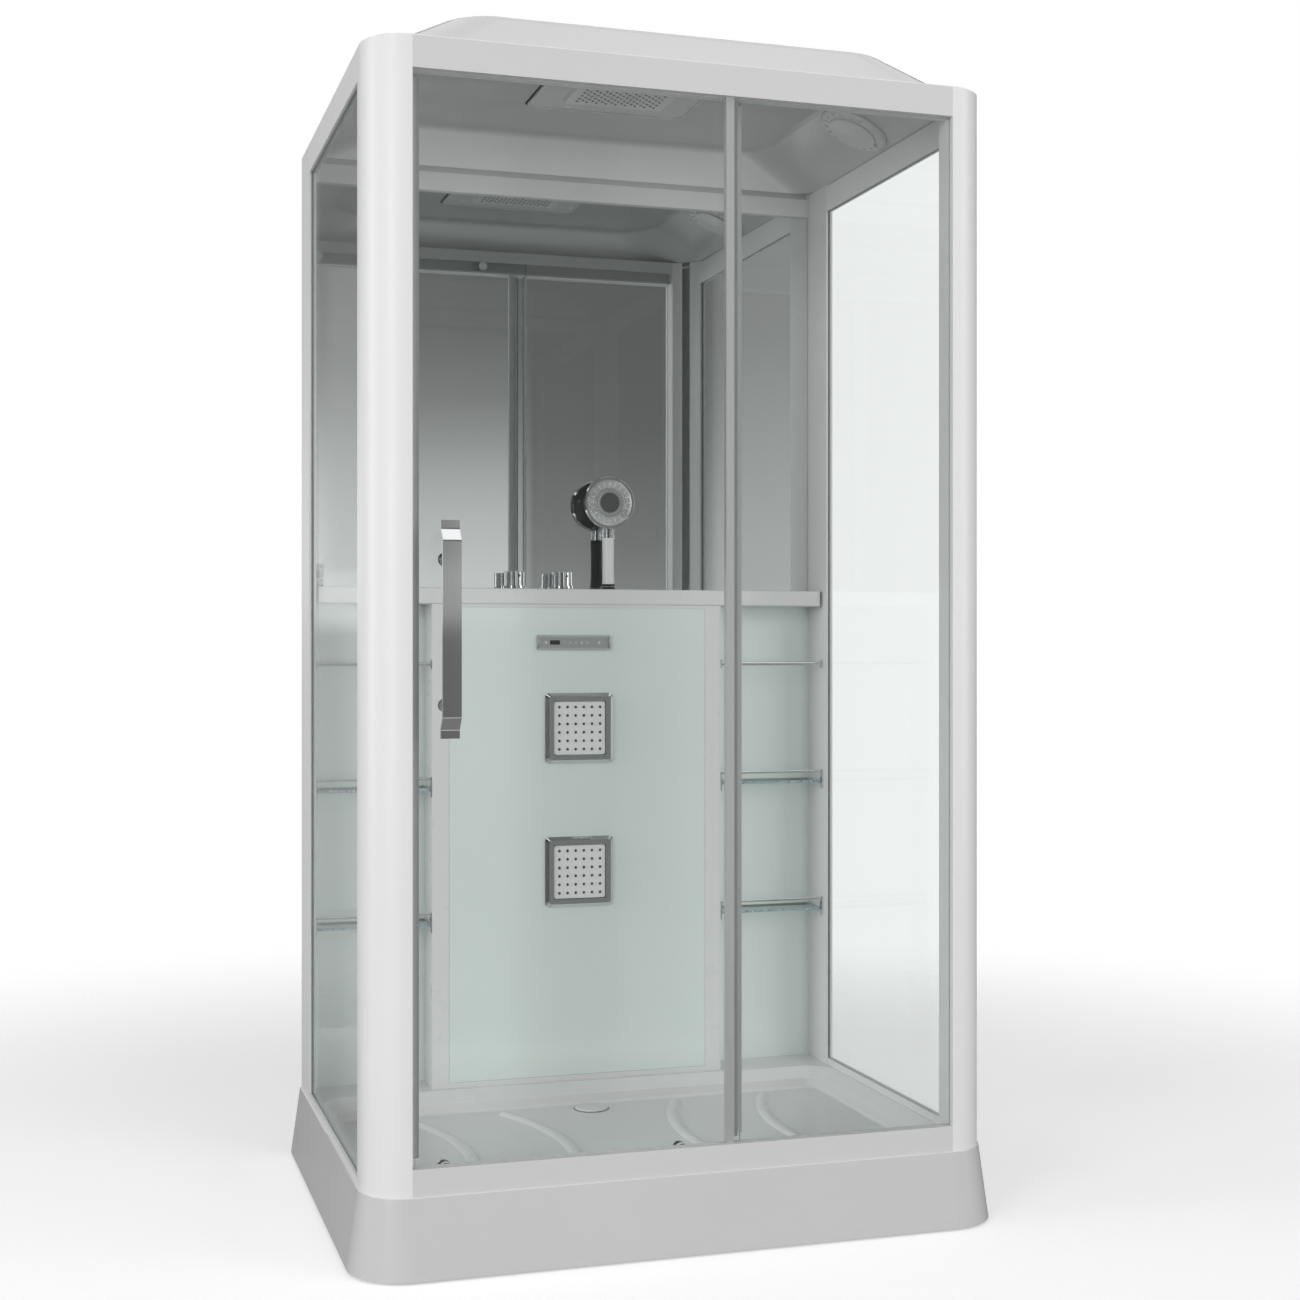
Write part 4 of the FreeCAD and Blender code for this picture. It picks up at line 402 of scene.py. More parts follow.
def glass_finish(name, axis, tint, edge_colours, mirror_share):
    """Clear glass whose faces look along an axis, with ground edges round them flecked at random between two
    colours; on the shelves the pale one is a painted glint.
    """
    material, finish = new_finish(name)
    on_edge = abs(finish.facing(axis)) < 0.5
    slant = finish.add("ShaderNodeLayerWeight", sockets={"Blend": 0.5}, out="Facing")
    gloss = slant ** 5.0 * (1.0 - gloss_head_on) + gloss_head_on
    smear = finish.noise(7.0, 4.0)
    passing = finish.add("ShaderNodeBsdfTransparent", sockets={"Color": (*tint, 1.0)})
    shine = finish.surface(Base_Color=(0.9, 0.95, 0.93), Metallic=1.0, Roughness=0.012 + smear * 0.01)
    face = finish.add("ShaderNodeMixShader", sockets={0: gloss * mirror_share, 1: passing, 2: shine})
    # Painted glints: the edge colour is flecked at random, and on the shelves the pale flecks stand for
    # glints.
    edge_glint_and_grain = finish.noise(260.0, 2.0)
    edge = finish.surface(Base_Color=finish.between((edge_glint_and_grain - 0.35) * 3.0, *edge_colours),
                          Roughness=0.2, Coat_Weight=0.5)
    finish.show(finish.add("ShaderNodeMixShader", sockets={0: on_edge, 1: face, 2: edge}))
    return material


dress(glass_finish("front_glass", "Y", pane_tint, pane_edges, 0.55), "door_glass", "fixed_front_glass")
dress(glass_finish("side_glass", "X", pane_tint, pane_edges, 0.5), "side_glasses")

# Front pane's free edge
# Brushed aluminium profiles are pushed on to the fixed pane's free edge and the door's trailing edge. A
# soft grey fin between the two seals them, and the door's closing edge has a strip of its kind, whose grey
# runs from pale to dark across its width towards the door: partly the rubber's own dark, partly painted
# shade in the jamb.
seal_pale_x = -0.497
seal_dark_x = -0.485

brushed, finish = new_finish("brushed_aluminium")
streak = finish.noise(1400.0, 3.0, (1.0, 1.0, 0.015))
finish.show(finish.surface(
    Base_Color=finish.between(streak, (0.76, 0.77, 0.775), (0.66, 0.67, 0.675)),
    Metallic=0.7, Roughness=0.38 + streak * 0.14, Normal=finish.bump(streak, 0.06, 0.0002)))
dress(brushed, "fixed_edge_profile", "door_trailing_profile")

soft_seal, finish = new_finish("soft_seal_strip")
# Partly painted shade: across the closing strip the grey runs from pale to dark towards the door.
seal_shade_share = finish.add("ShaderNodeMapRange", None, {
    "Value": finish.along("X"), "From Min": seal_pale_x, "From Max": seal_dark_x})
seal_tone_and_shade = finish.between(seal_shade_share, (0.66, 0.68, 0.67), (0.36, 0.375, 0.37))
finish.show(finish.surface(
    Base_Color=finish.between(finish.noise(40.0) * 0.4, seal_tone_and_shade, (0.22, 0.23, 0.228)),
    Roughness=0.35, Alpha=0.85))
dress(soft_seal, "overlap_seal", "door_closing_seal")

# Door handle
# One flat strap of polished stainless steel outside, bent at both ends, on dark polished standoffs that
# clamp through the glass with flat caps inside.
strap_steel, finish = new_finish("polished_stainless_strap")
grain = finish.noise(1700.0, 3.0, (1.0, 1.0, 0.012))
finish.show(finish.surface(
    Base_Color=finish.between(grain, (0.64, 0.65, 0.655), (0.54, 0.55, 0.555)),
    Metallic=1.0, Roughness=0.045 + grain * 0.05, Normal=finish.bump(grain, 0.03, 0.0002)))
dress(strap_steel, "outer_handle")

dark_chrome, finish = new_finish("dark_polished_steel")
finish.show(finish.surface(
    Base_Color=finish.between(finish.noise(40.0), (0.17, 0.175, 0.18), (0.12, 0.125, 0.13)),
    Metallic=1.0, Roughness=0.12 + finish.noise(120.0) * 0.1))
dress(dark_chrome, "handle_standoffs")

# Rollers
# Nylon wheels run in the rails' tracks on chromed axles that clamp through the door glass. Each axle
# ends in front in a domed black cap with a bright rim and a screwdriver slot.
cap_radius = 0.0108
cap_rise = 0.0026
cap_slot = (0.0100, 0.0006, 0.0013)
cap_rim_wire = 0.0009
turned_round = 0.42  # how much of a turned piece its rounded rim takes up
wheel_names = ("lower_left_wheel", "lower_right_wheel", "upper_left_wheel", "upper_right_wheel")

chrome, finish = new_finish("chrome_plate")
haze = finish.noise(26.0, 4.0)
finish.show(finish.surface(
    Base_Color=finish.between(haze, (0.80, 0.81, 0.82), (0.72, 0.73, 0.74)),
    Metallic=1.0, Roughness=0.035 + haze * 0.05, Normal=finish.bump(finish.noise(90.0, 1.0), 0.02, 0.0005)))
dress(chrome, "roller_axles")

wheel_nylon, finish = new_finish("roller_nylon")
finish.show(finish.surface(
    Base_Color=finish.between(finish.noise(80.0), (0.62, 0.62, 0.60), (0.54, 0.54, 0.52)),
    Roughness=0.40, Normal=finish.bump(finish.noise(600.0), 0.2, 0.0002)))
dress(wheel_nylon, *wheel_names)

black_abs, finish = new_finish("black_plastic")
finish.show(finish.surface(
    Base_Color=finish.between(finish.noise(60.0), (0.014, 0.014, 0.014), (0.024, 0.024, 0.024)),
    Roughness=0.24 + finish.noise(200.0) * 0.1, Specular_IOR_Level=0.3))


def solid(add, **shape):
    """Adds a primitive and works its size, place and turn into its mesh."""
    add(**shape)
    bpy.ops.object.transform_apply(location=True, rotation=True, scale=True)
    return bpy.context.object


def round_edges(reach, segments, smooth_below):
    """Rounds over every edge of the newest piece, which then looks smooth across edges below an angle."""
    bpy.ops.object.mode_set(mode="EDIT")
    bpy.ops.mesh.select_all(action="SELECT")
    bpy.ops.mesh.bevel(offset=reach, segments=segments, affect="EDGES")
    bpy.ops.object.mode_set(mode="OBJECT")
    bpy.ops.object.shade_smooth_by_angle(angle=math.radians(smooth_below))


def block(size, middle, edge_share=0.3, segments=2):
    """A block, its edges rounded over by a share of its thinnest side."""
    piece = solid(bpy.ops.mesh.primitive_cube_add, size=1.0, location=middle, scale=size)
    round_edges(min(size) * edge_share, segments, 40)
    return piece


def fit(piece, name, material, body):
    """Names a finished piece, gives it its material and fixes it to a body."""
    piece.name = piece.data.name = name
    piece.data.materials.clear()
    piece.data.materials.append(material)
    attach(piece, body)


def turned_step(radius, height, middle, turn, vertices=32):
    """A short round piece with both its rims rounded over, like a turned part."""
    piece = solid(bpy.ops.mesh.primitive_cylinder_add, vertices=vertices, radius=radius, depth=height,
                  location=middle, rotation=turn)
    round_edges(min(radius, height) * turned_round, 4, 50)
    return piece


def wire_ring(radius, wire, middle, turn=(0, 0, 0)):
    """A thin round ring."""
    piece = solid(bpy.ops.mesh.primitive_torus_add, major_radius=radius, minor_radius=wire,
                  major_segments=64, minor_segments=10, location=middle, rotation=turn)
    bpy.ops.object.shade_smooth_by_angle(angle=math.radians(60))
    return piece


axle_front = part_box("roller_axles")[0][1]
facing_front = (math.pi / 2, 0, 0)
for wheel_name in wheel_names:
    wheel_low, wheel_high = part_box(wheel_name)
    cap_x = (wheel_low[0] + wheel_high[0]) / 2
    cap_z = (wheel_low[2] + wheel_high[2]) / 2
    cap = turned_step(cap_radius, cap_rise, (cap_x, axle_front, cap_z), facing_front)
    fit(cap, wheel_name.replace("wheel", "axle_cap"), black_abs, "door")
    slot_y = axle_front - cap_rise / 2
    slot = block(cap_slot, (cap_x, slot_y, cap_z), 1 / 3, segments=1)
    fit(slot, wheel_name.replace("wheel", "axle_cap_slot"), chrome, "door")
    rim = wire_ring(cap_radius, cap_rim_wire, (cap_x, axle_front, cap_z), facing_front)
    fit(rim, wheel_name.replace("wheel", "axle_cap_rim"), chrome, "door")

# Mirror
# A silvered pane over the whole rear wall above the ledge, clipped to the rear profiles. Its back is
# sealed with a coat of grey paint.
silvered, finish = new_finish("silvered_glass")
painted_back = finish.facing("Y") > 0.5
silver = finish.between(finish.noise(2.0), (0.86, 0.88, 0.875), (0.84, 0.865, 0.86))
back_paint = finish.between(finish.noise(8.0), (0.36, 0.37, 0.38), (0.31, 0.32, 0.33))
finish.show(finish.surface(
    Base_Color=finish.between(painted_back, silver, back_paint),
    Metallic=1.0 - painted_back, Roughness=0.004 + finish.noise(5.0) * 0.006 + painted_back * 0.5))
dress(silvered, "mirror")

# Ledge and column housing
# The ledge runs the full width under the mirror and caps the column between the two niches. Both are
# vacuum-formed white plastic, semi-gloss, screwed to the rear profiles and the tray's edge.
formed_white, finish = new_finish("formed_white_plastic")
finish.show(finish.surface(
    Base_Color=finish.between(finish.noise(6.0), (0.785, 0.785, 0.785), (0.76, 0.762, 0.76)),
    Roughness=0.24 + finish.noise(18.0) * 0.10, Normal=finish.bump(finish.noise(25.0, 1.0), 0.06, 0.001)))
dress(formed_white, "ledge", "column_housing")

# Roof shadow strip
# A grey strip along the top of the rear and side rails, under the roof's slopes, stands in for the
# shadow line where the roof meets the rails: painted shadow.
rear_strip = (1.110, 0.0030, 0.0110)
side_strip = (0.0020, 0.640, 0.0035)
side_strip_x = 0.5635
strip_drop = 0.0005

roof_shadow_grey, finish = new_finish("grey_roof_shadow_strip")
finish.show(finish.surface(
    Base_Color=finish.between(finish.noise(80.0), (0.58, 0.59, 0.585), (0.50, 0.51, 0.505)),
    Roughness=0.6, Normal=finish.bump(finish.noise(500.0), 0.2, 0.0002)))

# Painted shadow: the strips are grey lines that stand for the shade under the roof's foot.
rail_low, rail_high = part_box("rear_top_rail")
strip_middle = (0, rail_low[1], rail_high[2] - rear_strip[2] / 2 - strip_drop)
fit(block(rear_strip, strip_middle, 0.25), "rear_roof_shadow_strip", roof_shadow_grey, "cabin")
for side, strip_name in ((-1, "left_roof_shadow_strip"), (1, "right_roof_shadow_strip")):
    strip_middle = (side * side_strip_x, 0, rail_high[2] - side_strip[2] / 2 - strip_drop)
    fit(block(side_strip, strip_middle, 0.25), strip_name, roof_shadow_grey, "cabin")

# Roof
# The tray's acrylic again, formed into a shallow hipped dome that rests on the head rails. Outside it is
# one white; inside, its white is set by how the surface faces, grey on the flat crown and whiter on the
# steeper slopes: painted shade and light.
crown_facing = -0.95  # the upward part of the surface's direction
slope_facing = -0.70

roof_acrylic, finish = new_finish("roof_acrylic")
bloom = finish.noise(3.5, 4.0)
# Painted light and shade: inside, the downward-facing crown is greyed and the steeper slopes whitened.
painted_slope_light_share = (finish.facing("Z") - crown_facing) / (slope_facing - crown_facing)
inside = finish.between(painted_slope_light_share, (0.60, 0.605, 0.602), (0.90, 0.902, 0.898))
outside = finish.between(bloom, (0.745, 0.745, 0.742), (0.715, 0.717, 0.713))
show_acrylic(finish, finish.between(finish.facing("Z") > 0.0, inside, outside), bloom)
dress(roof_acrylic, "roof_dome")

# Column glass and niche panels
# Glass painted white on its back, which looks pale green-blue through its thickness. The column's pane
# sits in a rebate of the housing, and the niche panels close the wall on both sides of it. The niche
# panels are the same glass given a paler colour: painted light.
for paint_name, paint_white, paint_shade, painted in (
        ("painted_column_glass", (0.79, 0.865, 0.835), (0.755, 0.83, 0.80), "column_glass"),
        # Painted light: the niche panels are the column's glass given a paler colour.
        ("niche_glass_painted_light", (0.86, 0.93, 0.905), (0.83, 0.90, 0.875), "niche_panels")):
    painted_glass, finish = new_finish(paint_name)
    shade = finish.noise(1.6, 2.0)
    finish.show(finish.surface(
        Base_Color=finish.between(shade, paint_white, paint_shade),
        Roughness=0.09 + shade * 0.05, Coat_Weight=0.6, Coat_Roughness=0.03))
    dress(painted_glass, painted)

# Shelves
# Clear glass shelves with a chrome guard rail in front, held in chrome end plates. Their ground front
# edges are flecked at random with pale blue-green over dark green: painted glints.
shelf_edge_colours_and_glints = ((0.16, 0.25, 0.28), (0.62, 0.74, 0.78))
dress(glass_finish("shelf_glass", "Z", (0.93, 0.965, 0.96), shelf_edge_colours_and_glints, 0.6), "shelf_glasses")
dress(chrome, "shelf_rails", "shelf_end_plates")

# Touch panel
# A grey film face in a satin aluminium bezel with polished ends. It has a dark display window and a
# row of small pale touch marks, each only a ring of short strokes.
panel_middle_x = -0.014
panel_middle_z = 1.076
end_strip = (0.0042, 0.0016, 0.0250)
end_strip_reach = 0.0780
window_size = (0.0215, 0.0008, 0.0095)
window_offset = -0.0417
mark_offsets = (-0.0616, -0.0214, -0.0089, 0.0046, 0.0178, 0.0300, 0.0440, 0.0560)
mark_strokes = (10, 3, 6, 4, 8, 5, 2, 12)
stroke_size = (0.0009, 0.0004, 0.0021)
stroke_reach = 0.0020

control_film, finish = new_finish("control_film")
film_grain = finish.noise(900.0)
finish.show(finish.surface(
    Base_Color=finish.between(film_grain, (0.46, 0.47, 0.47), (0.38, 0.39, 0.39)),
    Roughness=0.32, Metallic=0.3, Normal=finish.bump(film_grain, 0.2, 0.0001)))
dress(control_film, "control_face")
dress(brushed, "control_bezel")

window_film, finish = new_finish("display_window")
finish.show(finish.surface(
    Base_Color=finish.between(finish.noise(160.0), (0.030, 0.030, 0.034), (0.020, 0.020, 0.024)),
    Roughness=0.08, Coat_Weight=0.8, Coat_Roughness=0.02))

mark_print, finish = new_finish("pale_touch_mark")
finish.show(finish.surface(
    Base_Color=finish.between(finish.noise(400.0), (0.86, 0.88, 0.88), (0.76, 0.78, 0.78)), Roughness=0.4))


def ring_of(piece, count, middle, axis):
    """Repeats a piece in a ring round an axis through a middle, all in its own mesh."""
    bpy.ops.object.mode_set(mode="EDIT")
    bpy.ops.mesh.select_all(action="SELECT")
    for _ in range(count - 1):
        bpy.ops.mesh.duplicate()
        bpy.ops.transform.rotate(value=math.tau / count, orient_axis=axis, center_override=middle)
    bpy.ops.object.mode_set(mode="OBJECT")
    return piece


face_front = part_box("control_face")[0][1]
bezel_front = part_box("control_bezel")[0][1]
for side, end_name in ((-1, "left_panel_end"), (1, "right_panel_end")):
    strip_place = (panel_middle_x + side * end_strip_reach, bezel_front, panel_middle_z)
    fit(block(end_strip, strip_place, 0.45, segments=3), end_name, chrome, "cabin")
window_place = (panel_middle_x + window_offset, face_front, panel_middle_z)
window = block(window_size, window_place, 0.45)
fit(window, "display_window", window_film, "cabin")
for number, (offset, strokes) in enumerate(zip(mark_offsets, mark_strokes), 1):
    mark_middle = (panel_middle_x + offset, face_front, panel_middle_z)
    stroke_middle = (mark_middle[0], face_front, panel_middle_z + stroke_reach)
    stroke = block(stroke_size, stroke_middle, 0.4, segments=1)
    mark = ring_of(stroke, strokes, mark_middle, "Y")
    fit(mark, f"touch_mark_{number}", mark_print, "cabin")

# Body jets
# Two square spray plates in chrome frames. A mat of soft grey nozzles behind each plate comes through
# it in six rows of six.
jet_pitch = 0.018
jet_rows = 6
nozzle_radius = 0.0031
nozzle_tip_radius = 0.0024
nozzle_rise = 0.0016
nozzle_rim = 0.0008
nozzle_bore_draft = 0.0002
nozzle_bore_depth = 0.0012

nozzle_white, finish = new_finish("nozzle_plate_plastic")
speckle = finish.noise(1100.0, 2.0)
finish.show(finish.surface(
    Base_Color=finish.between((speckle - 0.3) * 2.2, (0.92, 0.91, 0.915), (0.77, 0.76, 0.765)),
    Roughness=0.38, Normal=finish.bump(speckle, 0.3, 0.0002)))
dress(nozzle_white, "jet_plates")
dress(chrome, "jet_frames")

nozzle_rubber, finish = new_finish("grey_silicone")
finish.show(finish.surface(
    Base_Color=finish.between(finish.noise(300.0), (0.10, 0.105, 0.11), (0.07, 0.075, 0.08)),
    Roughness=0.5, Normal=finish.bump(finish.noise(900.0), 0.2, 0.0001)))


def pick_faces(piece, wanted):
    """Goes into edit mode with only the wanted faces of a piece selected."""
    mesh = piece.data
    mesh.vertices.foreach_set("select", [False] * len(mesh.vertices))
    mesh.edges.foreach_set("select", [False] * len(mesh.edges))
    mesh.polygons.foreach_set("select", [wanted(face) for face in mesh.polygons])
    bpy.context.tool_settings.mesh_select_mode = (False, False, True)
    bpy.ops.object.mode_set(mode="EDIT")


def nozzle(foot, way, turn):
    """One soft nozzle: a short cone with a blind bore in its tip, pointing one way from its foot."""
    way = Vector(way)
    piece = solid(bpy.ops.mesh.primitive_cone_add, vertices=12, radius1=nozzle_radius,
                  radius2=nozzle_tip_radius, depth=nozzle_rise,
                  location=Vector(foot) + way * nozzle_rise / 2, rotation=turn)
    pick_faces(piece, lambda face: face.normal.dot(way) > 0.9)
    bpy.ops.mesh.inset(thickness=nozzle_rim, depth=0)
    bpy.ops.mesh.inset(thickness=nozzle_bore_draft, depth=-nozzle_bore_depth)
    bpy.ops.object.mode_set(mode="OBJECT")
    bpy.ops.object.shade_smooth_by_angle(angle=math.radians(35))
    return piece


def row_of(piece, count, step):
    """Repeats a piece in a straight row, all in its own mesh."""
    repeat = piece.modifiers.new("row", "ARRAY")
    repeat.count = count
    repeat.use_relative_offset = False
    repeat.use_constant_offset = True
    repeat.constant_offset_displace = step
    bpy.ops.object.modifier_apply(modifier=repeat.name)
    return piece


plates_low, plates_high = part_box("jet_plates")
plate_size = plates_high[0] - plates_low[0]
jet_x = (plates_low[0] + plates_high[0]) / 2
jet_middles = (("upper_jet", plates_high[2] - plate_size / 2), ("lower_jet", plates_low[2] + plate_size / 2))
half_rows = (jet_rows - 1) * jet_pitch / 2
for jet_name, jet_z in jet_middles:
    first_foot = (jet_x - half_rows, plates_low[1], jet_z - half_rows)
    mat = nozzle(first_foot, (0, -1, 0), facing_front)
    row_of(row_of(mat, jet_rows, (jet_pitch, 0, 0)), jet_rows, (0, 0, jet_pitch))
    fit(mat, jet_name + "_nozzles", nozzle_rubber, "cabin")

# Supply pipes and valves
# Pale grey plastic pipe joins the valves, the jets and the rain head behind the column. The valves are
# turned from bare brass, and their necks are clamped under the ledge.
brass, finish = new_finish("turned_brass")
lathe_lines = finish.noise(900.0, 2.0, (0.05, 0.05, 1.0))
tarnish = finish.noise(45.0, 4.0)
finish.show(finish.surface(
    Base_Color=finish.between(tarnish, (0.70, 0.53, 0.27), (0.55, 0.41, 0.21)),
    Metallic=1.0, Roughness=0.22 + tarnish * 0.2, Normal=finish.bump(lathe_lines, 0.2, 0.0003)))
dress(brass, "mixer_valve", "diverter_valve")

pipe_white, finish = new_finish("supply_pipe_plastic")
finish.show(finish.surface(
    Base_Color=finish.between(finish.noise(50.0), (0.70, 0.71, 0.72), (0.62, 0.63, 0.64)), Roughness=0.4))
dress(pipe_white, "supply_pipes")

# Knobs
# Cast zinc, fluted and chromed, pushed on to the valves' spindles. Each has a small dark peg near its
# top that shows how far it is turned.
peg_radius = 0.0030
peg_rise = 0.0024
peg_drop = 0.0095
peg_turn = math.radians(15)
barrel_inset = 0.003

dress(chrome, "mixer_knob", "diverter_knob")
for knob_name, knob_body in (("mixer", "mixer_control"), ("diverter", "diverter_control")):
    knob_low, knob_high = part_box(knob_name + "_knob")
    knob_middle = (Vector(knob_low) + Vector(knob_high)) / 2
    barrel_radius = (knob_high[0] - knob_low[0]) / 2 - barrel_inset
    peg_way = Vector((math.sin(peg_turn), -math.cos(peg_turn), 0))
    peg_place = knob_middle + peg_way * barrel_radius
    peg_place.z = knob_high[2] - peg_drop
    peg = turned_step(peg_radius, peg_rise, peg_place, (math.pi / 2, 0, peg_turn), vertices=20)
    fit(peg, knob_name + "_peg", dark_chrome, knob_body)

# Hand shower
# A chromed head with a black back, a ribbed neck and a slim sleeve that is pale in front and black
# behind. It stands in a black collar on the ledge.
head_x = 0.076
head_z = 1.380
stem_y = 0.38725
black_behind_y = 0.3862
head_foot_z = 1.3245
fin_size = (0.0016, 0.0030, 0.0300)
fin_count = 16
fin_radius = 0.0117
fin_lean = 5.3
neck_low_z = 1.3035
band_radius = 0.0148
band_wire = 0.0007
band_z = 1.1975


def split_finish(name, split_y, floor_z, front, back):
    """A finish that is one thing in front of a plane and another behind it, above a height."""
    material, finish = new_finish(name)
    behind = (finish.along("Y") > split_y) * (finish.along("Z") > floor_z)
    front_shader, back_shader = front(finish), back(finish)
    finish.show(finish.add("ShaderNodeMixShader", sockets={0: behind, 1: front_shader, 2: back_shader}))
    return material


def bright_chrome(finish):
    """Chrome plate on plastic."""
    haze = finish.noise(40.0, 4.0)
    return finish.surface(Base_Color=finish.between(haze, (0.80, 0.81, 0.82), (0.72, 0.73, 0.74)),
                          Metallic=1.0, Roughness=0.04 + haze * 0.06)


def gloss_black(finish):
    """Polished black plastic."""
    return finish.surface(Base_Color=finish.between(finish.noise(90.0), (0.012, 0.012, 0.012),
                                                    (0.02, 0.02, 0.02)),
                          Roughness=0.3, Specular_IOR_Level=0.25)


def pale_satin(finish):
    """Pearly white plastic."""
    return finish.surface(Base_Color=finish.between(finish.noise(30.0), (0.84, 0.84, 0.84),
                                                    (0.78, 0.78, 0.78)), Roughness=0.3, Coat_Weight=0.3)


dress(split_finish("handset_shell", black_behind_y, head_foot_z, bright_chrome, gloss_black), "handset_body")
dress(split_finish("grip_sleeve", black_behind_y, 0.0, pale_satin, gloss_black), "handset_grip")
dress(black_abs, "handset_socket")

fin_place = (head_x, stem_y - fin_radius, neck_low_z + fin_size[2] / 2)
fin = block(fin_size, fin_place)
bpy.ops.object.mode_set(mode="EDIT")
bpy.ops.transform.rotate(value=math.radians(fin_lean), orient_axis="X", center_override=fin_place)
bpy.ops.object.mode_set(mode="OBJECT")
ring_of(fin, fin_count, (head_x, stem_y, fin_place[2]), "Z")
fit(fin, "neck_fins", chrome, "handset")

band = wire_ring(band_radius, band_wire, (head_x, stem_y, band_z))
fit(band, "collar_band", chrome, "cabin")

# Spray face
# A satin-chromed plate, turned with fine grooves, with pale ribs round a thin ring. Inside it lie a
# mid-grey band of short dashes and a dark field of nozzles. It turns by its tab to change the jet.
rib_size = (0.0011, 0.0016, 0.0090)
rib_reach = 0.0405
rib_count = 20
field_radius = 0.0312
field_inner_radius = 0.0215
groove_pitch = 0.0009
groove_depth = 0.00004
dash_size = (0.0008, 0.0014, 0.0030)
dash_reach = 0.0262
dash_count = 24
small_nozzle_rings = ((6, 0.0060), (12, 0.0120), (18, 0.0178))
small_nozzle_radius = 0.0011
small_nozzle_rise = 0.0014
ring_wire = 0.0008
spray_front_y = 0.3715

spray_plate, finish = new_finish("spray_plate")
from_middle_x = finish.along("X") - head_x
from_middle_z = finish.along("Z") - head_z
radius = (from_middle_x * from_middle_x + from_middle_z * from_middle_z) ** 0.5
on_field = radius < field_radius
grooves = finish.worked("SINE", radius * (math.tau / groove_pitch))
ring_chrome = finish.surface(
    Base_Color=finish.between(finish.noise(60.0), (0.80, 0.81, 0.815), (0.70, 0.71, 0.715)),
    Metallic=0.74, Roughness=0.24, Normal=finish.bump(grooves, 1.0, groove_depth))
field_dark = finish.between(finish.noise(220.0), (0.12, 0.125, 0.125), (0.085, 0.09, 0.09))
field_plastic = finish.surface(
    Base_Color=finish.between(radius < field_inner_radius, (0.34, 0.345, 0.345), field_dark),
    Metallic=0.3, Roughness=0.35)
finish.show(finish.add("ShaderNodeMixShader", sockets={0: on_field, 1: ring_chrome, 2: field_plastic}))
dress(spray_plate, "spray_face")

spray_middle = Vector((head_x, spray_front_y, head_z))
rib = block(rib_size, spray_middle + Vector((0, 0, rib_reach)))
fit(ring_of(rib, rib_count, spray_middle, "Y"), "spray_ribs", mark_print, "spray_selector")
dash = block(dash_size, spray_middle + Vector((0, 0, dash_reach)))
fit(ring_of(dash, dash_count, spray_middle, "Y"), "spray_dashes", mark_print, "spray_selector")

for number, (count, reach) in enumerate(small_nozzle_rings, 1):
    place = spray_middle + Vector((0, -small_nozzle_rise / 2, reach))
    small = turned_step(small_nozzle_radius, small_nozzle_rise, place, facing_front, vertices=10)
    ring_of(small, count, spray_middle, "Y")
    fit(small, f"spray_nozzle_ring_{number}", nozzle_rubber, "spray_selector")

field_ring = wire_ring(field_radius, ring_wire, spray_middle, facing_front)
fit(field_ring, "spray_field_ring", chrome, "spray_selector")

# Rain head
# A square nozzle face under the ceiling in a thin white surround with a raised rim. A dark ring round
# the surround stands in for the shade in the gap to the ceiling: painted shadow. Its soft nozzles come
# through in two crossed grids.
rain_pitch = 0.020
rain_rows = 9
surround_size = 0.330
surround_corner = 0.018
rim_width = 0.0026
rim_height = 0.0034
rim_inset = 0.0005
rim_bedding = 0.0004
shadow_ring_reach = 0.0030
shadow_ring_width = 0.0045
shadow_ring_height = 0.0016

rain_rubber, finish = new_finish("pale_silicone")
finish.show(finish.surface(
    Base_Color=finish.between(finish.noise(300.0), (0.42, 0.43, 0.43), (0.34, 0.35, 0.35)),
    Roughness=0.5, Normal=finish.bump(finish.noise(900.0), 0.2, 0.0001)))

rain_plate, finish = new_finish("rain_plate_plastic")
finish.show(finish.surface(
    Base_Color=finish.between(finish.noise(40.0), (0.93, 0.93, 0.925), (0.90, 0.90, 0.897)),
    Roughness=0.25, Normal=finish.bump(finish.noise(300.0), 0.1, 0.0002)))
dress(rain_plate, "rain_face")

face_low, face_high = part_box("rain_face")
face_middle = (Vector(face_low) + Vector(face_high)) / 2
facing_down = (math.pi, 0, 0)
for grid_name, grid_rows in (("rain_nozzles_main", rain_rows), ("rain_nozzles_between", rain_rows - 1)):
    grid_half = (grid_rows - 1) * rain_pitch / 2
    grid_foot = (face_middle.x - grid_half, face_middle.y - grid_half, face_low[2])
    grid = nozzle(grid_foot, (0, 0, -1), facing_down)
    row_of(row_of(grid, grid_rows, (rain_pitch, 0, 0)), grid_rows, (0, rain_pitch, 0))
    fit(grid, grid_name, rain_rubber, "cabin")


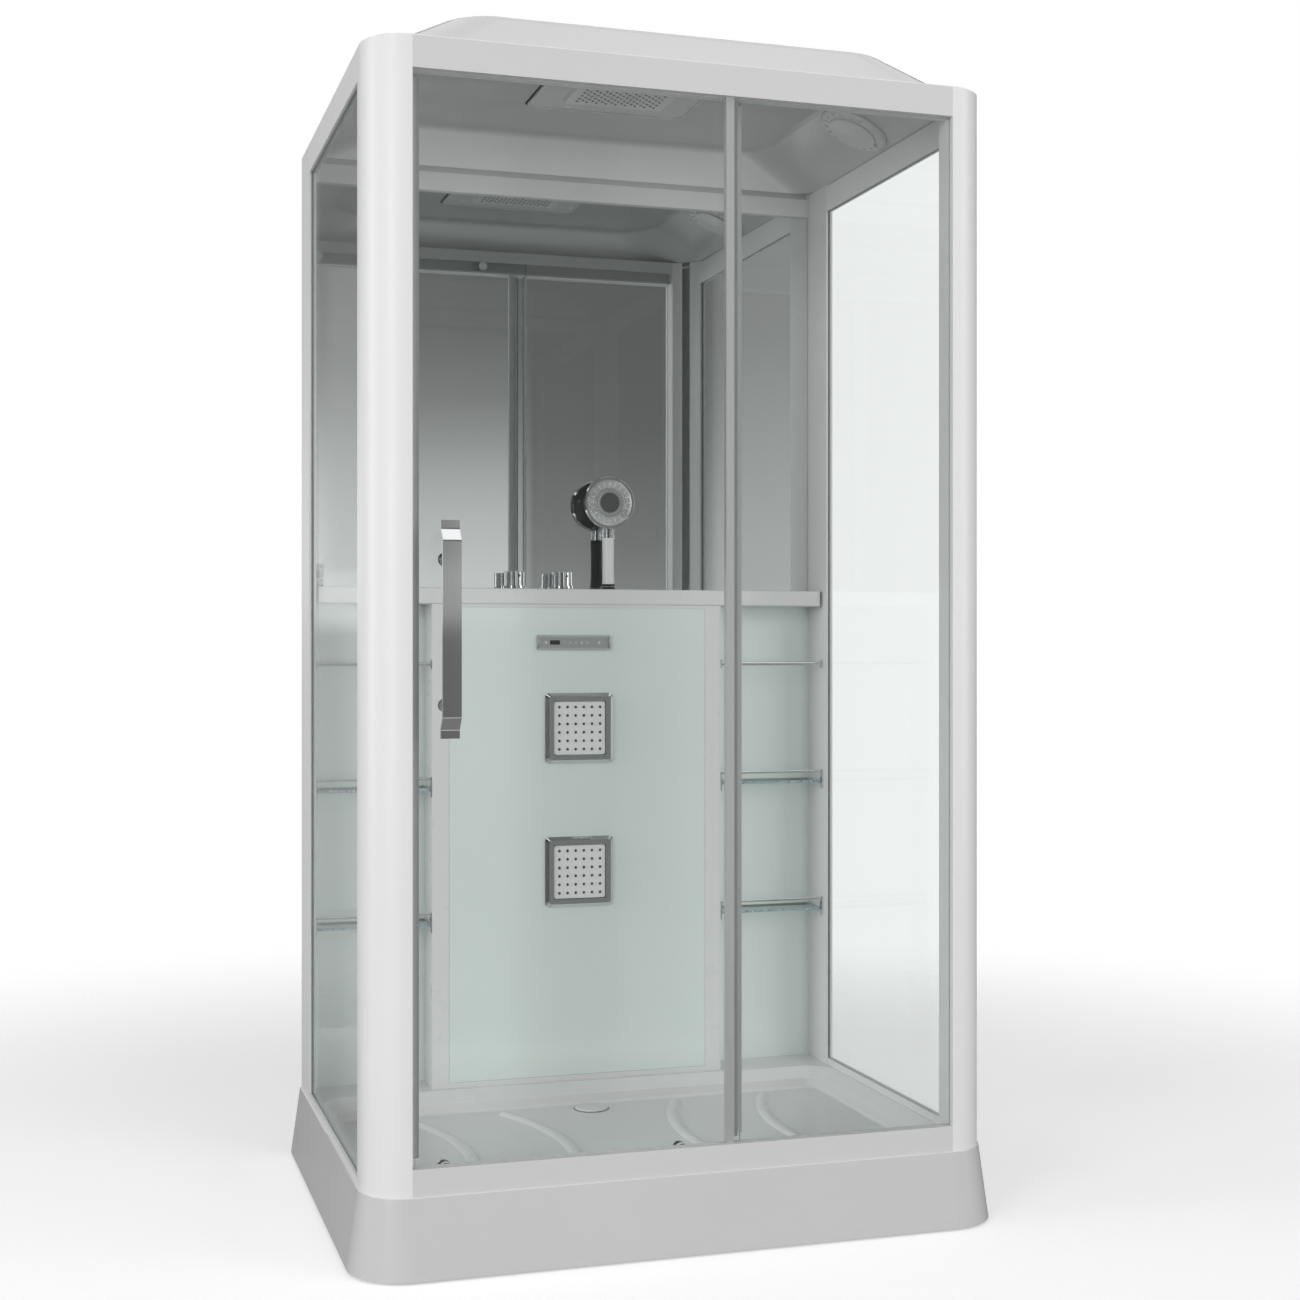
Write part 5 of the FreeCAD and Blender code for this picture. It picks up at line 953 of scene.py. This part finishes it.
def square_ring(size, corner, width, height, middle):
    """A flat square ring with rounded corners, cut from a plate of the given size."""
    piece = solid(bpy.ops.mesh.primitive_cube_add, size=1.0, location=middle, scale=(size, size, height))
    mesh = piece.data
    for part in (mesh.vertices, mesh.polygons):
        part.foreach_set("select", [False] * len(part))
    for edge in mesh.edges:
        start, end = (mesh.vertices[number].co for number in edge.vertices)
        edge.select = abs(start.z - end.z) > height / 2
    bpy.context.tool_settings.mesh_select_mode = (False, True, False)
    bpy.ops.object.mode_set(mode="EDIT")
    bpy.ops.mesh.bevel(offset=corner, segments=8, affect="EDGES")
    bpy.ops.object.mode_set(mode="OBJECT")
    pick_faces(piece, lambda face: abs(face.normal.z) > 0.9)
    bpy.ops.mesh.inset(thickness=width, depth=0)
    bpy.ops.mesh.bridge_edge_loops()
    bpy.ops.object.mode_set(mode="OBJECT")
    return piece


plate_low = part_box("rain_surround")[0]
rim_middle = (face_middle.x, face_middle.y, plate_low[2] - rim_height / 2 + rim_bedding)
rim = square_ring(surround_size - 2 * rim_inset, surround_corner, rim_width, rim_height, rim_middle)
fit(rim, "rain_surround_rim", white_abs, "cabin")
# Painted shadow: a dark ring just outside the surround, where the gap to the ceiling lies in shade.
shadow_ring_middle = (face_middle.x, face_middle.y, plate_low[2] + shadow_ring_height)
shadow_ring = square_ring(surround_size + 2 * shadow_ring_reach, surround_corner, shadow_ring_width, shadow_ring_height,
                     shadow_ring_middle)
fit(shadow_ring, "rain_surround_shadow_ring", rubber, "cabin")

# Ceiling fitting
# A round white fitting on the right-hand slope of the roof: a ring with small bosses, and a raised
# inner disc with a rolled lip and a finger tab.
fitting_place = Vector((0.491, 0.004, 2.129))
fitting_tilt = 25.9
boss_ring_radius = 0.0610
boss_count = 18
boss_radius = 0.0042
boss_rise = 0.0036
ring_face_drop = 0.009
lip_radius = 0.0485
lip_wire = 0.0024
disc_face_drop = 0.0140
tab_size = (0.0100, 0.0150, 0.0030)


def onto_slope(piece):
    """Tilts a piece made under the origin and moves it to the roof's right-hand slope."""
    tilt = Matrix.Rotation(math.radians(fitting_tilt), 4, "Y")
    piece.data.transform(Matrix.Translation(fitting_place) @ tilt)
    return piece


boss_place = (boss_ring_radius, 0, -ring_face_drop)
boss = turned_step(boss_radius, boss_rise, boss_place, (0, 0, 0), vertices=16)
ring_of(boss, boss_count, (0, 0, 0), "Z")
fit(onto_slope(boss), "ceiling_fitting_bosses", white_abs, "cabin")

lip = wire_ring(lip_radius, lip_wire, (0, 0, -disc_face_drop + lip_wire))
fit(onto_slope(lip), "ceiling_fitting_lip", white_abs, "cabin")

tab = block(tab_size, (lip_radius + tab_size[0] / 2, 0, -disc_face_drop + lip_wire))
fit(onto_slope(tab), "ceiling_fitting_tab", white_abs, "cabin")
